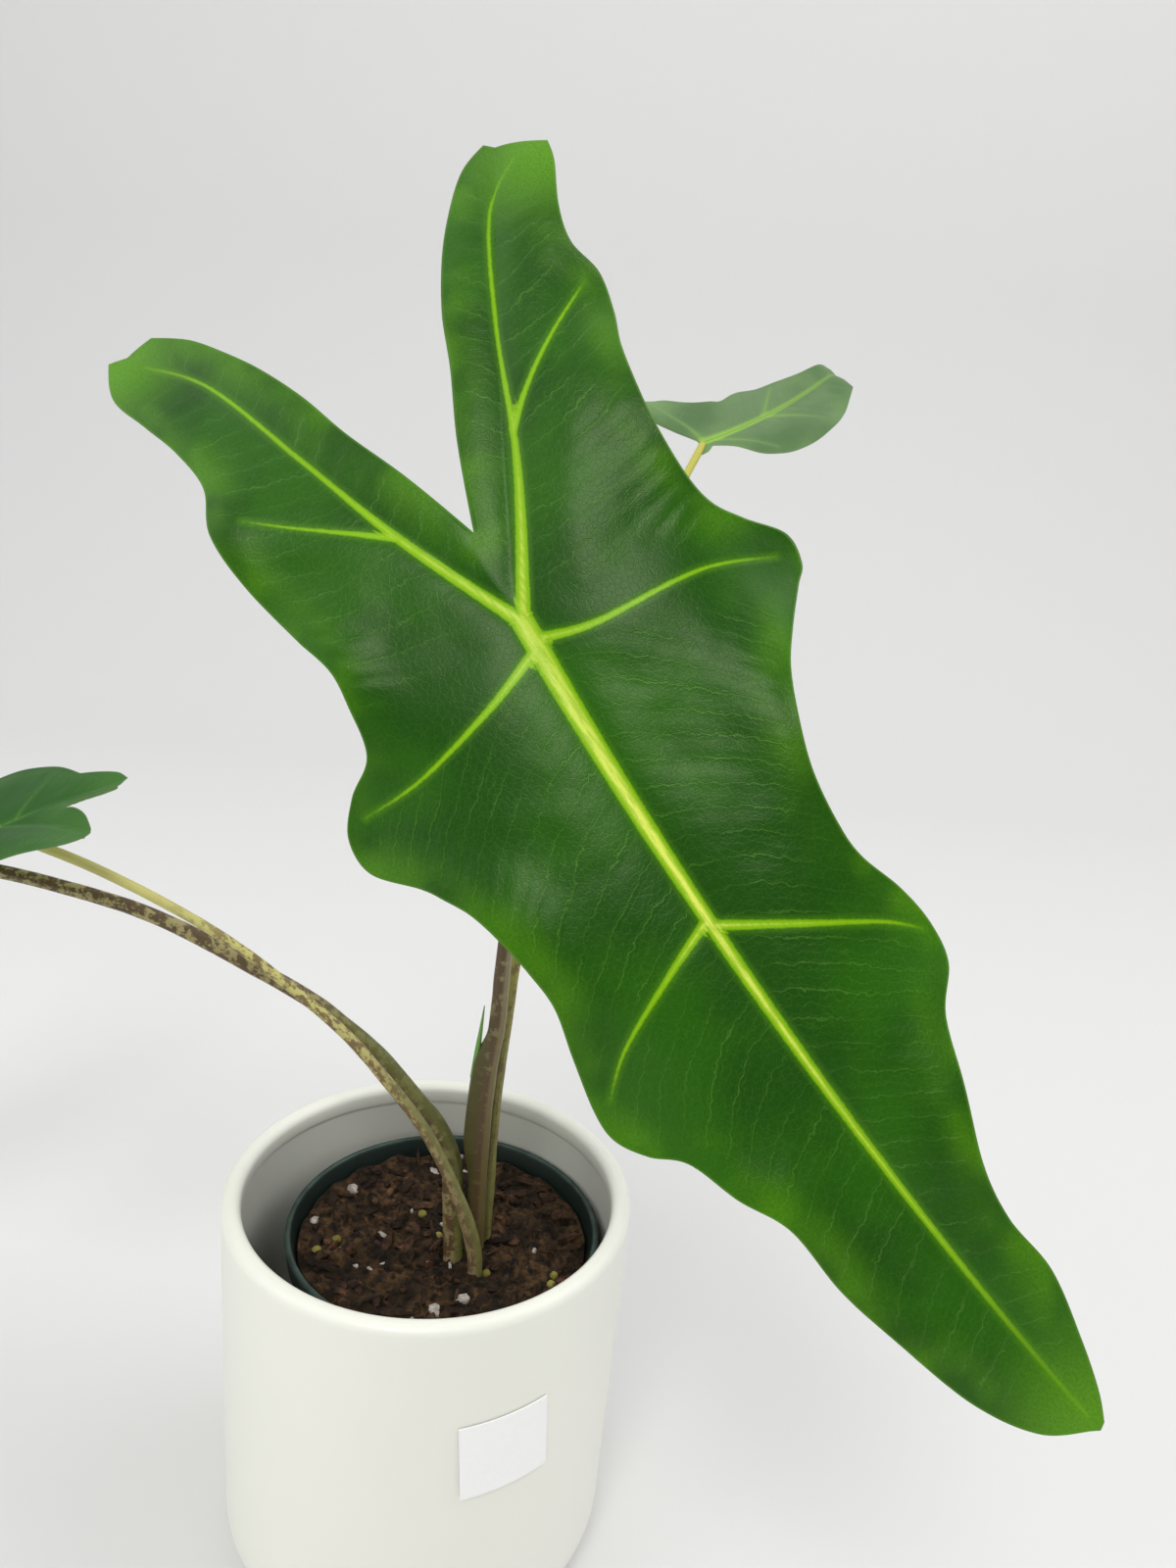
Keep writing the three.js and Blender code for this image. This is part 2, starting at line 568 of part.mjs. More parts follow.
// One leaf's form. place(s, w) is a point of the blade's middle sheet: the midrib bends in the plane
// of tipward and face by the angle turn(s), w runs square to that plane, and rise(s, w) lifts the
// blade off it, for the fold at the veins, the rolled margin and the swells.
function bladeForm(leaf) {
  const { kind, scale } = leaf;
  const tipward = vector(leaf.tipward).normalize();
  const face = vector(leaf.face);
  face.addScaledVector(tipward, -face.dot(tipward)).normalize();
  const across = new THREE.Vector3().crossVectors(face, tipward).multiplyScalar(leaf.mirror);
  const junction = vector(leaf.junction);

  const turn = (s) => {
    if (s < 0) return -leaf.lobeBend * (-s / kind.lobe) ** 1.5;
    const late = Math.max(0, (s - leaf.tipStart) / (kind.length - leaf.tipStart));
    return (leaf.bend * s) / kind.length + leaf.tipBend * late ** 2;
  };
  const midrib = (s) => (-4 * kind.bow * s * (kind.length - s)) / kind.length ** 2;

  const rise = (s, w) => {
    const side = w < 0 ? -1 : 1;
    const blend = THREE.MathUtils.smoothstep(w, -8, 8);
    const slope = THREE.MathUtils.lerp(kind.costaLeft, kind.costaRight, blend);
    const costa = slope * (Math.sqrt(Math.min(s, 0) ** 2 + 16) - 4);
    const away = Math.abs(w - (s > 0 ? midrib(s) : side * costa));
    const taper = THREE.MathUtils.clamp((kind.length - s) / (0.25 * kind.length), 0, 1);
    let lift = leaf.fold * (1 - Math.exp(-away / (0.18 * kind.half))) * taper;
    lift -= leaf.curl * (away / kind.half) ** 2;
    for (const [s0, w0, amount, reach] of leaf.swells) {
      lift += amount * Math.exp(-((s - s0) ** 2 + (w - w0) ** 2) / reach ** 2);
    }
    return lift;
  };

  const place = (s, w) => {
    const steps = 24;
    let along = 0;
    let out = 0;
    for (let i = 0; i < steps; i++) {
      const angle = turn((s * (i + 0.5)) / steps);
      along += (Math.cos(angle) * s) / steps;
      out -= (Math.sin(angle) * s) / steps;
    }
    const lift = rise(s, w);
    const angle = turn(s);
    return junction.clone()
      .addScaledVector(tipward, scale * (along + lift * Math.sin(angle)))
      .addScaledVector(face, scale * (out + lift * Math.cos(angle)))
      .addScaledVector(across, scale * w);
  };

  const normal = (s, w) => {
    const step = 0.5;
    const alongS = place(s + step, w).sub(place(s - step, w));
    const alongW = place(s, w + step).sub(place(s, w - step));
    return alongS.cross(alongW).multiplyScalar(leaf.mirror).normalize();
  };
  return { place, normal, midrib };
}

// Rows of [s, w] points across one half of a blade, from its inner line to its margin. The rows reach
// past both lines by the two spreads, and past its first end, but the last row starts on the line.
function rowsAcross(inner, outer, rowsPerPoint, columns, spreadIn, spreadOut) {
  const count = Math.round((inner.length - 1) * rowsPerPoint);
  const curve = (line) => new THREE.SplineCurve(line.map(([s, w]) => new THREE.Vector2(s, w))).getPoints(count);
  const [from, to] = [curve(inner), curve(outer)];
  if (spreadIn) {
    for (const line of [from, to]) line[0].add(line[0].clone().sub(line[1]).setLength(spreadIn));
  }
  return from.map((start, i) => {
    const before = i < count ? spreadIn : 0;
    const span = to[i].clone().sub(start);
    const reach = span.length();
    span.normalize();
    return Array.from({ length: columns + 1 }, (_, k) => {
      const distance = (k / columns) ** 0.85 * (reach + before + spreadOut) - before;
      return [start.x + distance * span.x, start.y + distance * span.y];
    });
  });
}

// The blade as a sheet: a grid of its middle sheet, moved out along the normal by top and by bottom
// for its two faces, and a rim round the margin, all from the same triangles. grow widens it.
function bladeSheet(form, kind, rowsPerPoint, top, bottom, grow) {
  const columns = 3;
  const middle = kind.feet.map((s, i) => [i ? s : s - grow, form.midrib(s)]);
  const half = (margin) => rowsAcross(middle, margin, rowsPerPoint, columns, 0, grow);
  const lobe = ({ inner, outer }, margin) => rowsAcross([...inner, middle[0]], [...outer, margin[0]],
    rowsPerPoint, columns, grow, grow);
  const grids = [half(kind.right), lobe(kind.rightLobe, kind.right), half(kind.left),
    lobe(kind.leftLobe, kind.left)];
  const seen = new Map();
  const flat = [];
  const numberOf = ([s, w]) => {
    const key = `${s.toFixed(3)},${w.toFixed(3)}`;
    if (!seen.has(key)) {
      seen.set(key, flat.length);
      flat.push([s, w]);
    }
    return seen.get(key);
  };
  const triangles = [];
  for (const [g, grid] of grids.entries()) {
    const numbers = grid.map((row) => row.map(numberOf));
    for (let i = 0; i + 1 < numbers.length; i++) {
      for (let k = 0; k < columns; k++) {
        const [a, b] = [numbers[i][k], numbers[i][k + 1]];
        const [c, d] = [numbers[i + 1][k], numbers[i + 1][k + 1]];
        if (g < 2) triangles.push([a, c, d], [a, d, b]);
        else triangles.push([a, d, c], [a, b, d]);
      }
    }
  }
  const edges = new Map();
  for (const [a, b, c] of triangles) {
    for (const [p, q] of [[a, b], [b, c], [c, a]]) {
      if (edges.has(`${q},${p}`)) edges.delete(`${q},${p}`);
      else edges.set(`${p},${q}`, [p, q]);
    }
  }
  const count = flat.length;
  const positions = new Float32Array(6 * count);
  flat.forEach(([s, w], i) => {
    const centre = form.place(s, w);
    const normal = form.normal(s, w);
    centre.clone().addScaledVector(normal, top).toArray(positions, 3 * i);
    centre.clone().addScaledVector(normal, bottom).toArray(positions, 3 * (count + i));
  });
  const index = [];
  for (const [a, b, c] of triangles) index.push(a, b, c, count + a, count + c, count + b);
  for (const [p, q] of edges.values()) index.push(p, count + p, count + q, p, count + q, q);
  const geometry = new THREE.BufferGeometry();
  geometry.setAttribute('position', new THREE.BufferAttribute(positions, 3));
  geometry.setIndex(index);
  return solidOf(geometry);
}

// A section carried along a curve. radiusAt(share, angle) gives its reach, and the section's first
// direction stays as close to sideways as the curve allows, so that it doesn't twist.
function swept(curve, steps, sides, sideways, radiusAt) {
  const positions = [];
  const index = [];
  for (let i = 0; i <= steps; i++) {
    const share = i / steps;
    const centre = curve.getPointAt(share);
    const tangent = curve.getTangentAt(share);
    const first = sideways.clone().addScaledVector(tangent, -sideways.dot(tangent)).normalize();
    const second = new THREE.Vector3().crossVectors(tangent, first);
    for (let k = 0; k < sides; k++) {
      const angle = (2 * Math.PI * k) / sides;
      const reach = radiusAt(share, angle);
      const point = centre.clone()
        .addScaledVector(first, reach * Math.cos(angle))
        .addScaledVector(second, reach * Math.sin(angle));
      positions.push(point.x, point.y, point.z);
    }
  }
  for (let i = 0; i < steps; i++) {
    for (let k = 0; k < sides; k++) {
      const next = (k + 1) % sides;
      const [a, b] = [i * sides + k, i * sides + next];
      index.push(a, b, b + sides, a, b + sides, a + sides);
    }
  }
  for (const share of [0, 1]) {
    const centre = curve.getPointAt(share);
    positions.push(centre.x, centre.y, centre.z);
    const hub = positions.length / 3 - 1;
    const ring = share * steps * sides;
    for (let k = 0; k < sides; k++) {
      const next = (k + 1) % sides;
      if (share) index.push(ring + k, ring + next, hub);
      else index.push(ring + next, ring + k, hub);
    }
  }
  const geometry = new THREE.BufferGeometry();
  geometry.setAttribute('position', new THREE.Float32BufferAttribute(positions, 3));
  geometry.setIndex(index);
  return solidOf(geometry);
}

// A leaf: the blade, its veins as ribs along its back, sunk in as deep as the middle sheet, and the
// swelling at the joint that the ribs run out of. Nothing of them shows above the middle sheet. grow
// makes the leaf fatter all round, to cut a seat.
function makeLeaf(leaf, grow) {
  const form = bladeForm(leaf);
  const half = BLADE_THICKNESS / 2 + grow;
  const blade = bladeSheet(form, leaf.kind, leaf.rowsPerPoint, half, -half, grow);
  const above = bladeSheet(form, leaf.kind, leaf.rowsPerPoint, 3 * BLADE_THICKNESS, 0.1, grow);
  const hubRadius = HUB_SHARE * leaf.kind.veins[0].from * leaf.scale;
  const swelling = new THREE.SphereGeometry(hubRadius + grow, 8, 6);
  const hub = form.place(0, 0).addScaledVector(form.normal(0, 1), -hubRadius);
  const ribs = [solidOf(swelling.translate(hub.x, hub.y, hub.z))];
  for (const vein of leaf.kind.veins.slice(0, leaf.ribs)) {
    const radiusAt = (share) => leaf.scale * THREE.MathUtils.lerp(vein.from, vein.to, share);
    const points = [];
    const samples = 2 * (vein.route.length - 1);
    const line = new THREE.SplineCurve(vein.route.map(([s, w]) => new THREE.Vector2(s, w)));
    for (let i = 0; i <= samples; i++) {
      const { x: s, y: offset } = line.getPoint(i / samples);
      const w = vein.onMidrib ? form.midrib(s) : offset;
      points.push(form.place(s, w).addScaledVector(form.normal(s, w + 0.2), -radiusAt(i / samples)));
    }
    const curve = new THREE.CatmullRomCurve3(points);
    const sideways = form.normal(...vein.route[1]);
    ribs.push(swept(curve, samples, 4, sideways, (share) => radiusAt(share) + grow));
  }
  return blade.add(wasm.Manifold.union(ribs).subtract(above));
}

// A stalk: round, narrowing upwards, with the sheath's wing fading out in a shoulder. Its top is cut
// to the leaf's back with the usual clearance.
function makeStalk(stalk, leafSeat, grow) {
  const route = stalk.route.map(vector);
  route[0].z -= grow;
  const curve = new THREE.CatmullRomCurve3(route, false, 'centripetal');
  const wingAngle = THREE.MathUtils.degToRad(stalk.wingAngle);
  const radiusAt = (share, angle) => {
    const radius = THREE.MathUtils.lerp(stalk.foot, stalk.top, Math.min(1, share / 0.6));
    const rooted = THREE.MathUtils.smoothstep(share, stalk.sheath[0], stalk.sheath[1]);
    const fading = 1 - THREE.MathUtils.smoothstep(share, stalk.sheath[2], stalk.sheath[3]);
    const facing = Math.exp(-((Math.cos(angle - wingAngle) - 1) ** 2) / 0.35);
    return radius * (1 + stalk.wing * rooted * fading * facing) + grow;
  };
  const body = swept(curve, stalk.steps, 8, vector(stalk.sideways), radiusAt);
  return leafSeat ? largestBody(body.subtract(leafSeat)) : body;
}

function makeSpear(sheathHole) {
  const curve = new THREE.LineCurve3(vector(SPEAR_FOOT), vector(SPEAR_TIP));
  const radiusAt = (share) => SPEAR_RADIUS * (1 - 0.85 * share ** 1.5);
  return largestBody(swept(curve, 4, 6, new THREE.Vector3(0, -1, 0), radiusAt).subtract(sheathHole));
}

const plant = new THREE.Group();

function add(name, solid, [colour, roughness]) {
  const material = new THREE.MeshStandardMaterial({ color: colour, roughness, metalness: 0 });
  const mesh = new THREE.Mesh(geometryOf(solid), material);
  mesh.name = name;
  plant.add(mesh);
}

add('cover_pot', makeCoverPot(), COLOURS.ceramic);
add('growing_pot', makeGrowingPot(), COLOURS.growingPot);
add('label', makeLabel(), COLOURS.label);
const stalkHoles = STALKS.map((stalk) => makeStalk(stalk, null, CLEARANCE));
add('soil', makeSoil(wasm.Manifold.union([makeTuber(CLEARANCE), ...stalkHoles])), COLOURS.soil);
add('tuber', makeTuber(0), COLOURS.tuber);
for (const leaf of LEAVES) add(leaf.name, makeLeaf(leaf, 0), COLOURS.leaf);
for (const stalk of STALKS) {
  const seat = makeLeaf(LEAVES.find((leaf) => leaf.name === stalk.leaf), CLEARANCE);
  add(stalk.name, makeStalk(stalk, seat, 0), COLOURS.stalk);
}
add('new_leaf_spear', makeSpear(stalkHoles[0]), COLOURS.spear);

export default plant;
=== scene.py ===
# %% [markdown]
# # A sarian alocasia in its pots
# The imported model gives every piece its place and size. This lesson dresses it: each leaf, stalk and
# pot is worked out again as a fine numpy surface on the same lines, and gets a procedural material.
# Lengths are worked out in millimetres and go into the meshes in metres.

import bmesh
import bpy
import numpy as np
from mathutils import Matrix, Vector


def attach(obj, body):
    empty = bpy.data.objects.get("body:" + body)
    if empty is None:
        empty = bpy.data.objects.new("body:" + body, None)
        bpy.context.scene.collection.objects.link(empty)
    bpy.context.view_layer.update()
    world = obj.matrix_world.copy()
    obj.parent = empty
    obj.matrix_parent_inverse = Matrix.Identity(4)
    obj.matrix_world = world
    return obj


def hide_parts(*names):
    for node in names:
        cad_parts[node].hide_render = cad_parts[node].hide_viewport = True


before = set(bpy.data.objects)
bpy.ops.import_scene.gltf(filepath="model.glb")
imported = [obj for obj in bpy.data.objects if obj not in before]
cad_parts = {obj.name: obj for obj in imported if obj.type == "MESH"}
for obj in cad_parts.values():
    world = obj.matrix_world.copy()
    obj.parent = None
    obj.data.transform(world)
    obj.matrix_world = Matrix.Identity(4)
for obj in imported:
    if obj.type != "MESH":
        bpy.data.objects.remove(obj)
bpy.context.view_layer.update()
print("nodes:", sorted(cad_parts))

# %% [markdown]
# ## The camera
# The photograph is taken from just above the plant, close in, with the camera leaned by five degrees.
# Pitch and roll give three directions, which are the columns of the camera's matrix. The lens is the
# focal length in pixels, turned into millimetres on a 36 mm sensor that spans the 1600 pixel height.

# %% Place the camera
CAMERA_AT = (0.0384, -0.3196, 0.3572)
PITCH, ROLL = np.radians(16.51), np.radians(5.04)
FOCAL_PIXELS, PIXELS_HIGH, SENSOR = 1202.0, 1600, 36


def placed(name, data):
    """A new object in the scene for a mesh, a light or a camera."""
    thing = bpy.data.objects.new(name, data)
    bpy.context.scene.collection.objects.link(thing)
    return thing


forward = Vector((0.0, np.cos(PITCH), -np.sin(PITCH)))
level_up = Vector((0.0, np.sin(PITCH), np.cos(PITCH)))
right = np.cos(ROLL) * Vector((1.0, 0.0, 0.0)) + np.sin(ROLL) * level_up
up = np.cos(ROLL) * level_up - np.sin(ROLL) * Vector((1.0, 0.0, 0.0))
lens = bpy.data.cameras.new("camera")
lens.lens = FOCAL_PIXELS / PIXELS_HIGH * SENSOR
lens.sensor_width = SENSOR
lens.clip_start, lens.clip_end = 0.02, 20
camera = placed("camera", lens)
camera.matrix_world = Matrix.Translation(CAMERA_AT) @ Matrix((right, up, -forward)).transposed().to_4x4()
bpy.context.scene.camera = camera
print("lens:", round(lens.lens, 2), "mm")

# %% [markdown]
# ## Tools for surfaces
# Every new piece is a grid of points. One helper numbers the quads of a grid, one puts points and
# quads into a mesh, and others draw smooth lines through a few chosen points and make noise.

# %% Grid and mesh helpers
def grid_quads(rows, columns, wrap=False):
    """Quads of a grid whose points are numbered row by row. wrap joins the last column to the first."""
    row = np.arange(rows - 1)[:, None]
    column = np.arange(columns if wrap else columns - 1)[None, :]
    after = (column + 1) % columns
    corners = [row * columns + column, row * columns + after,
               (row + 1) * columns + after, (row + 1) * columns + column]
    return np.stack(np.broadcast_arrays(*corners), -1).reshape(-1, 4)


def new_piece(name, points, quads, attributes=None, uv=None, replaces=(), slot="", sharp=35):
    """A closed piece from points in millimetres and quads. Doubled points are merged, which closes the
    seams and poles, and the faces are turned outwards. attributes and uv hold one value a point."""
    mesh = bpy.data.meshes.new(name)
    mesh.from_pydata((np.asarray(points) / 1000).tolist(), [], quads.tolist())
    for key, values in (attributes or {}).items():
        layer = mesh.attributes.new(key, "FLOAT", "POINT")
        layer.data.foreach_set("value", np.asarray(values, np.float32))
    if uv is not None:
        corner_points = np.empty(len(mesh.loops), np.int32)
        mesh.loops.foreach_get("vertex_index", corner_points)
        layer = mesh.uv_layers.new(name="surface")
        layer.data.foreach_set("uv", np.asarray(uv, np.float32)[corner_points].ravel())
    work = bmesh.new()
    work.from_mesh(mesh)
    bmesh.ops.remove_doubles(work, verts=work.verts, dist=2e-6)
    bmesh.ops.recalc_face_normals(work, faces=work.faces)
    work.to_mesh(mesh)
    work.free()
    mesh.shade_smooth()
    mesh.set_sharp_from_angle(angle=np.radians(sharp))
    piece = placed(name, mesh)
    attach(piece, "root")
    if replaces:
        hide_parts(*replaces)
    print(name, len(mesh.polygons), "faces")
    return piece


def circle_angles(count):
    """Angles of that many even steps round a circle, from 0."""
    return np.linspace(0, 2 * np.pi, count, endpoint=False)


def around(centre, radius, angle):
    """The two coordinates of the points at a radius and an angle round a centre."""
    return centre[0] + radius * np.cos(angle), centre[1] + radius * np.sin(angle)


def unit(vectors):
    """Vectors of length 1 in the same directions."""
    return vectors / np.linalg.norm(vectors, axis=-1, keepdims=True)


def cubic(start, end, leave, arrive, share):
    """The cubic from start to end whose slopes there are leave and arrive, at a share of the way."""
    return ((2 * start - 2 * end + leave + arrive) * share ** 3
            + (3 * end - 3 * start - 2 * leave - arrive) * share ** 2 + leave * share + start)


def smooth_line(points, at):
    """Catmull-Rom line: between two chosen points it is a cubic whose slope at each is half the step
    between that point's neighbours. at counts along the points, 0 at the first."""
    points = np.asarray(points, float)
    padded = np.vstack([points[:1], points, points[-1:]])
    span = np.minimum(np.asarray(at).astype(int), len(points) - 2)
    share = (np.asarray(at) - span)[:, None]
    before, start, end, after = (padded[span + k] for k in range(4))
    return cubic(start, end, (end - before) / 2, (after - start) / 2, share)


def smoothstep(x, low, high):
    """0 below low, 1 above high, and a smooth cubic between them."""
    share = np.clip((x - low) / (high - low), 0, 1)
    return share * share * (3 - 2 * share)


def noise(x, y, size, seed):
    """Smooth random heights from -1 to 1: random values on a square lattice of that size, blended
    between the four nearest corners. The lattice repeats."""
    period = 128
    values = np.random.default_rng(seed).uniform(-1, 1, (period, period))
    column, row = np.asarray(x) / size, np.asarray(y) / size
    i, j = np.floor(column).astype(int), np.floor(row).astype(int)
    a, b = smoothstep(column - i, 0, 1), smoothstep(row - j, 0, 1)
    low, high = (values[i % period, k % period] * (1 - a) + values[(i + 1) % period, k % period] * a
                 for k in (j, j + 1))
    return low * (1 - b) + high * b


print("helpers ready")

# %% [markdown]
# ## Tools for materials
# A finish is a small tree of nodes. Each node's output is wrapped, so that plain arithmetic on it adds
# the math nodes and a formula reads as one. Colours are given as they look on a screen, 0..255.

# %% Material helpers
MIX_SHARE, MIX_FIRST, MIX_SECOND, MIX_COLOUR = 0, 6, 7, 2


def linear(colour):
    """A screen colour as the linear red, green, blue and alpha that a shader takes."""
    value = np.array(colour) / 255
    value = np.where(value <= 0.04045, value / 12.92, ((value + 0.055) / 1.055) ** 2.4)
    return (*value.tolist(), 1.0)


def node(tree, kind, output, inputs=None, **settings):
    """A new node's output. An input that is another output is linked, and any other is set."""
    made = tree.nodes.new("ShaderNode" + kind)
    for key, value in settings.items():
        setattr(made, key, value)
    for key, value in (inputs or {}).items():
        if isinstance(value, Output):
            tree.links.new(value.socket, made.inputs[key])
        else:
            made.inputs[key].default_value = value
    return Output(made.outputs[output])


class Output:
    """The output of a node, with the sums that can be made from it."""

    def __init__(self, socket):
        self.socket = socket

    def math(self, operation, other=0.0):
        return node(self.socket.id_data, "Math", 0, {0: self, 1: other}, operation=operation)

    def __add__(self, other):
        return self.math("ADD", other)

    def __sub__(self, other):
        return self.math("SUBTRACT", other)

    def __mul__(self, other):
        return self.math("MULTIPLY", other)

    def between(self, low, high, out_low=0.0, out_high=1.0):
        """Mapped smoothly from low..high to out_low..out_high, and held beyond them."""
        limits = {"Value": self, "From Min": low, "From Max": high, "To Min": out_low, "To Max": out_high}
        return node(self.socket.id_data, "MapRange", "Result", limits, interpolation_type="SMOOTHSTEP")

    def mix(self, *colours):
        """The colour at this share of the way from the first to the second."""
        first, second = (each if isinstance(each, Output) else linear(each) for each in colours)
        inputs = {MIX_SHARE: self, MIX_FIRST: first, MIX_SECOND: second}
        return node(self.socket.id_data, "Mix", MIX_COLOUR, inputs, data_type="RGBA")


class Finish:
    """A material. Fixed numbers sit on its shader's sockets, whose names take _ for a space."""

    def __init__(self, name, roughness, specular=0.5, **sockets):
        self.material = bpy.data.materials.new(name)
        self.material.use_nodes = True
        self.tree = self.material.node_tree
        self.shader = self.tree.nodes["Principled BSDF"]
        for key, value in {"Roughness": roughness, "Specular_IOR_Level": specular, **sockets}.items():
            self.shader.inputs[key.replace("_", " ")].default_value = value

    def attribute(self, name):
        return node(self.tree, "Attribute", "Fac", attribute_name=name)

    def place(self, kind="Object"):
        return node(self.tree, "TexCoord", kind)

    def noise(self, place, scale, detail=2.0, roughness=0.5):
        inputs = {"Vector": place, "Scale": scale, "Detail": detail, "Roughness": roughness}
        return node(self.tree, "TexNoise", "Fac", inputs)

    def paint(self, colour, height=None, strength=0.0, distance=0.0003):
        """Give the material a colour and, with a height, a fine relief."""
        self.tree.links.new(colour.socket, self.shader.inputs["Base Color"])
        if height:
            inputs = {"Height": height, "Strength": strength, "Distance": distance}
            normal = node(self.tree, "Bump", "Normal", inputs)
            self.tree.links.new(normal.socket, self.shader.inputs["Normal"])

    def cover(self, *pieces):
        for piece in pieces:
            piece.data.materials.clear()
            piece.data.materials.append(self.material)


print("material helpers ready")

# %% [markdown]
# ## The cover pot
# The pot is slip-cast ceramic with a thin satin glaze: a plain cylinder with a rounded foot, a soft
# lip and a shallow ledge inside. Its section is one line of radii and heights, turned once round, so
# the profile is the whole design. Quarter circles are given by a centre, a radius and two angles.

# %% Turn the cover pot
COVER_RADIUS, COVER_HEIGHT, COVER_TAPER = 63.5, 127.0, 0.013
COVER_WALL, COVER_FLOOR, COVER_LIP = 6.0, 7.0, 2.8
COVER_FOOT_ROUNDING, COVER_INNER_ROUNDING = 17.0, 12.0
COVER_LEDGE_DEPTH, COVER_LEDGE_STEP = 7.0, 0.9
FLAT_FOOT_INSET, STRAIGHT_HEIGHTS = 6, np.linspace(24, 120, 17)


def cover_radius(z):
    """Outer radius at a height: it draws in evenly below the rim."""
    return COVER_RADIUS - COVER_TAPER * (COVER_HEIGHT - z)


def rounding(centre_r, centre_z, radius, start, end, steps=14):
    """Points on a circle of the section from one angle in degrees to another."""
    return np.stack(around((centre_r, centre_z), radius, np.radians(np.linspace(start, end, steps + 1))), -1)


def turned(profile, sides, centre=(0.0, 0.0)):
    """Surface of revolution: point (r, z) of the profile at angle a lies at
    (centre x + r cos a, centre y + r sin a, z)."""
    radius, height = profile[:, 0, None], profile[:, 1, None]
    points = np.stack(np.broadcast_arrays(*around(centre, radius, circle_angles(sides)), height), -1)
    return points.reshape(-1, 3), grid_quads(len(profile), sides, wrap=True)


foot = cover_radius(COVER_FOOT_ROUNDING) - COVER_FOOT_ROUNDING
lip_z, inner_top = COVER_HEIGHT - COVER_LIP, COVER_RADIUS - COVER_WALL
ledge_z, inner_low = COVER_HEIGHT - COVER_LEDGE_DEPTH, cover_radius(0) - COVER_WALL
cover_profile = np.vstack([
    [[0, 0], [foot - FLAT_FOOT_INSET, 0]],
    rounding(foot, COVER_FOOT_ROUNDING, COVER_FOOT_ROUNDING, -90, 0, 24),
    [[cover_radius(z), z] for z in STRAIGHT_HEIGHTS],
    rounding(COVER_RADIUS - COVER_LIP, lip_z, COVER_LIP, 0, 90),
    rounding(inner_top + COVER_LIP, lip_z, COVER_LIP, 90, 180),
    [[inner_top, ledge_z + 1.0], [inner_top + 0.25, ledge_z + 0.5],
     [inner_top + COVER_LEDGE_STEP - 0.2, ledge_z - 0.4], [inner_top + COVER_LEDGE_STEP, ledge_z - 0.9]],
    rounding(inner_low - COVER_INNER_ROUNDING, COVER_FLOOR + COVER_INNER_ROUNDING,
             COVER_INNER_ROUNDING, 0, -90),
    [[0, COVER_FLOOR]],
])
cover_pot = new_piece("cover_pot_glazed", *turned(cover_profile, 256), replaces=["cover_pot"],
                      slot="white_ceramic", sharp=60)

# %% [markdown]
# ## The growing pot
# The plant stands in a thin moulded pot of dark green plastic. It is turned like the cover pot, round
# its own centre. Its drain holes are cut with one modifier that is then made part of the mesh.

# %% Turn the growing pot and cut its drain holes
GROW_CENTRE = (4.4, 5.6)
GROW_RIM_RADIUS, GROW_RIM_Z, GROW_RIM_BAND = 50.3, 108.5, 8.0
GROW_FOOT_RADIUS, GROW_FOOT_STEP, GROW_WALL, GROW_LIP, CLEARANCE = 36.6, 1.5, 1.4, 1.0, 0.3
DRAINS, DRAIN_RING, DRAIN_RADIUS, DRAIN_DEPTH, DRAIN_Z = 6, 27.0, 4.0, 12.0, 9.0

foot_z, band_z = COVER_FLOOR + CLEARANCE, GROW_RIM_Z - GROW_RIM_BAND
floor_z, top_z, wall_top = foot_z + GROW_FOOT_STEP, GROW_RIM_Z - GROW_LIP, GROW_RIM_RADIUS - 2.4
inside_z, inside_low = floor_z + GROW_WALL, GROW_FOOT_RADIUS - GROW_WALL
grow_profile = np.vstack([
    [[0, floor_z], [GROW_FOOT_RADIUS - 9, floor_z], [GROW_FOOT_RADIUS - 7, foot_z],
     [GROW_FOOT_RADIUS - 0.5, foot_z], [GROW_FOOT_RADIUS, foot_z + 0.5]],
    [[wall_top, band_z], [GROW_RIM_RADIUS - GROW_LIP, band_z], [GROW_RIM_RADIUS - 0.8, band_z + 0.3],
     [GROW_RIM_RADIUS, top_z]],
    rounding(GROW_RIM_RADIUS - GROW_LIP, top_z, GROW_LIP, 20, 160, 8),
    [[wall_top - GROW_WALL, band_z], [inside_low, inside_z], [0, inside_z]],
])
growing_pot = new_piece("growing_pot_moulded", *turned(grow_profile, 160, GROW_CENTRE),
                        replaces=["growing_pot"], slot="green_plastic")

drills = bmesh.new()
for turn in circle_angles(DRAINS):
    at = Vector((*around(GROW_CENTRE, DRAIN_RING, turn), DRAIN_Z)) / 1000
    bmesh.ops.create_cone(drills, cap_ends=True, segments=24, radius1=DRAIN_RADIUS / 1000,
                          radius2=DRAIN_RADIUS / 1000, depth=DRAIN_DEPTH / 1000,
                          matrix=Matrix.Translation(at))
drill_mesh = bpy.data.meshes.new("drills")
drills.to_mesh(drill_mesh)
drills.free()
drill = placed("drills", drill_mesh)
cut = growing_pot.modifiers.new("drain holes", "BOOLEAN")
cut.object, cut.operation, cut.solver = drill, "DIFFERENCE", "EXACT"
bpy.context.view_layer.update()
cut_mesh = bpy.data.meshes.new_from_object(
    growing_pot.evaluated_get(bpy.context.evaluated_depsgraph_get()))
growing_pot.modifiers.clear()
growing_pot.data = cut_mesh
bpy.data.objects.remove(drill)
print("with drain holes:", len(growing_pot.data.polygons), "faces")

# %% [markdown]
# ## The label
# A square of blank white paper is stuck to the pot, a little askew. It is a flat grid, turned by its
# tilt and then rolled onto the pot's curve a clearance away from it, with a second face behind it.

# %% Roll the label onto the pot
LABEL_ANGLE, LABEL_Z, LABEL_WIDTH, LABEL_HEIGHT = np.radians(-60), 81.5, 27.0, 25.0
LABEL_TILT, LABEL_THICKNESS = 0.07, 0.4


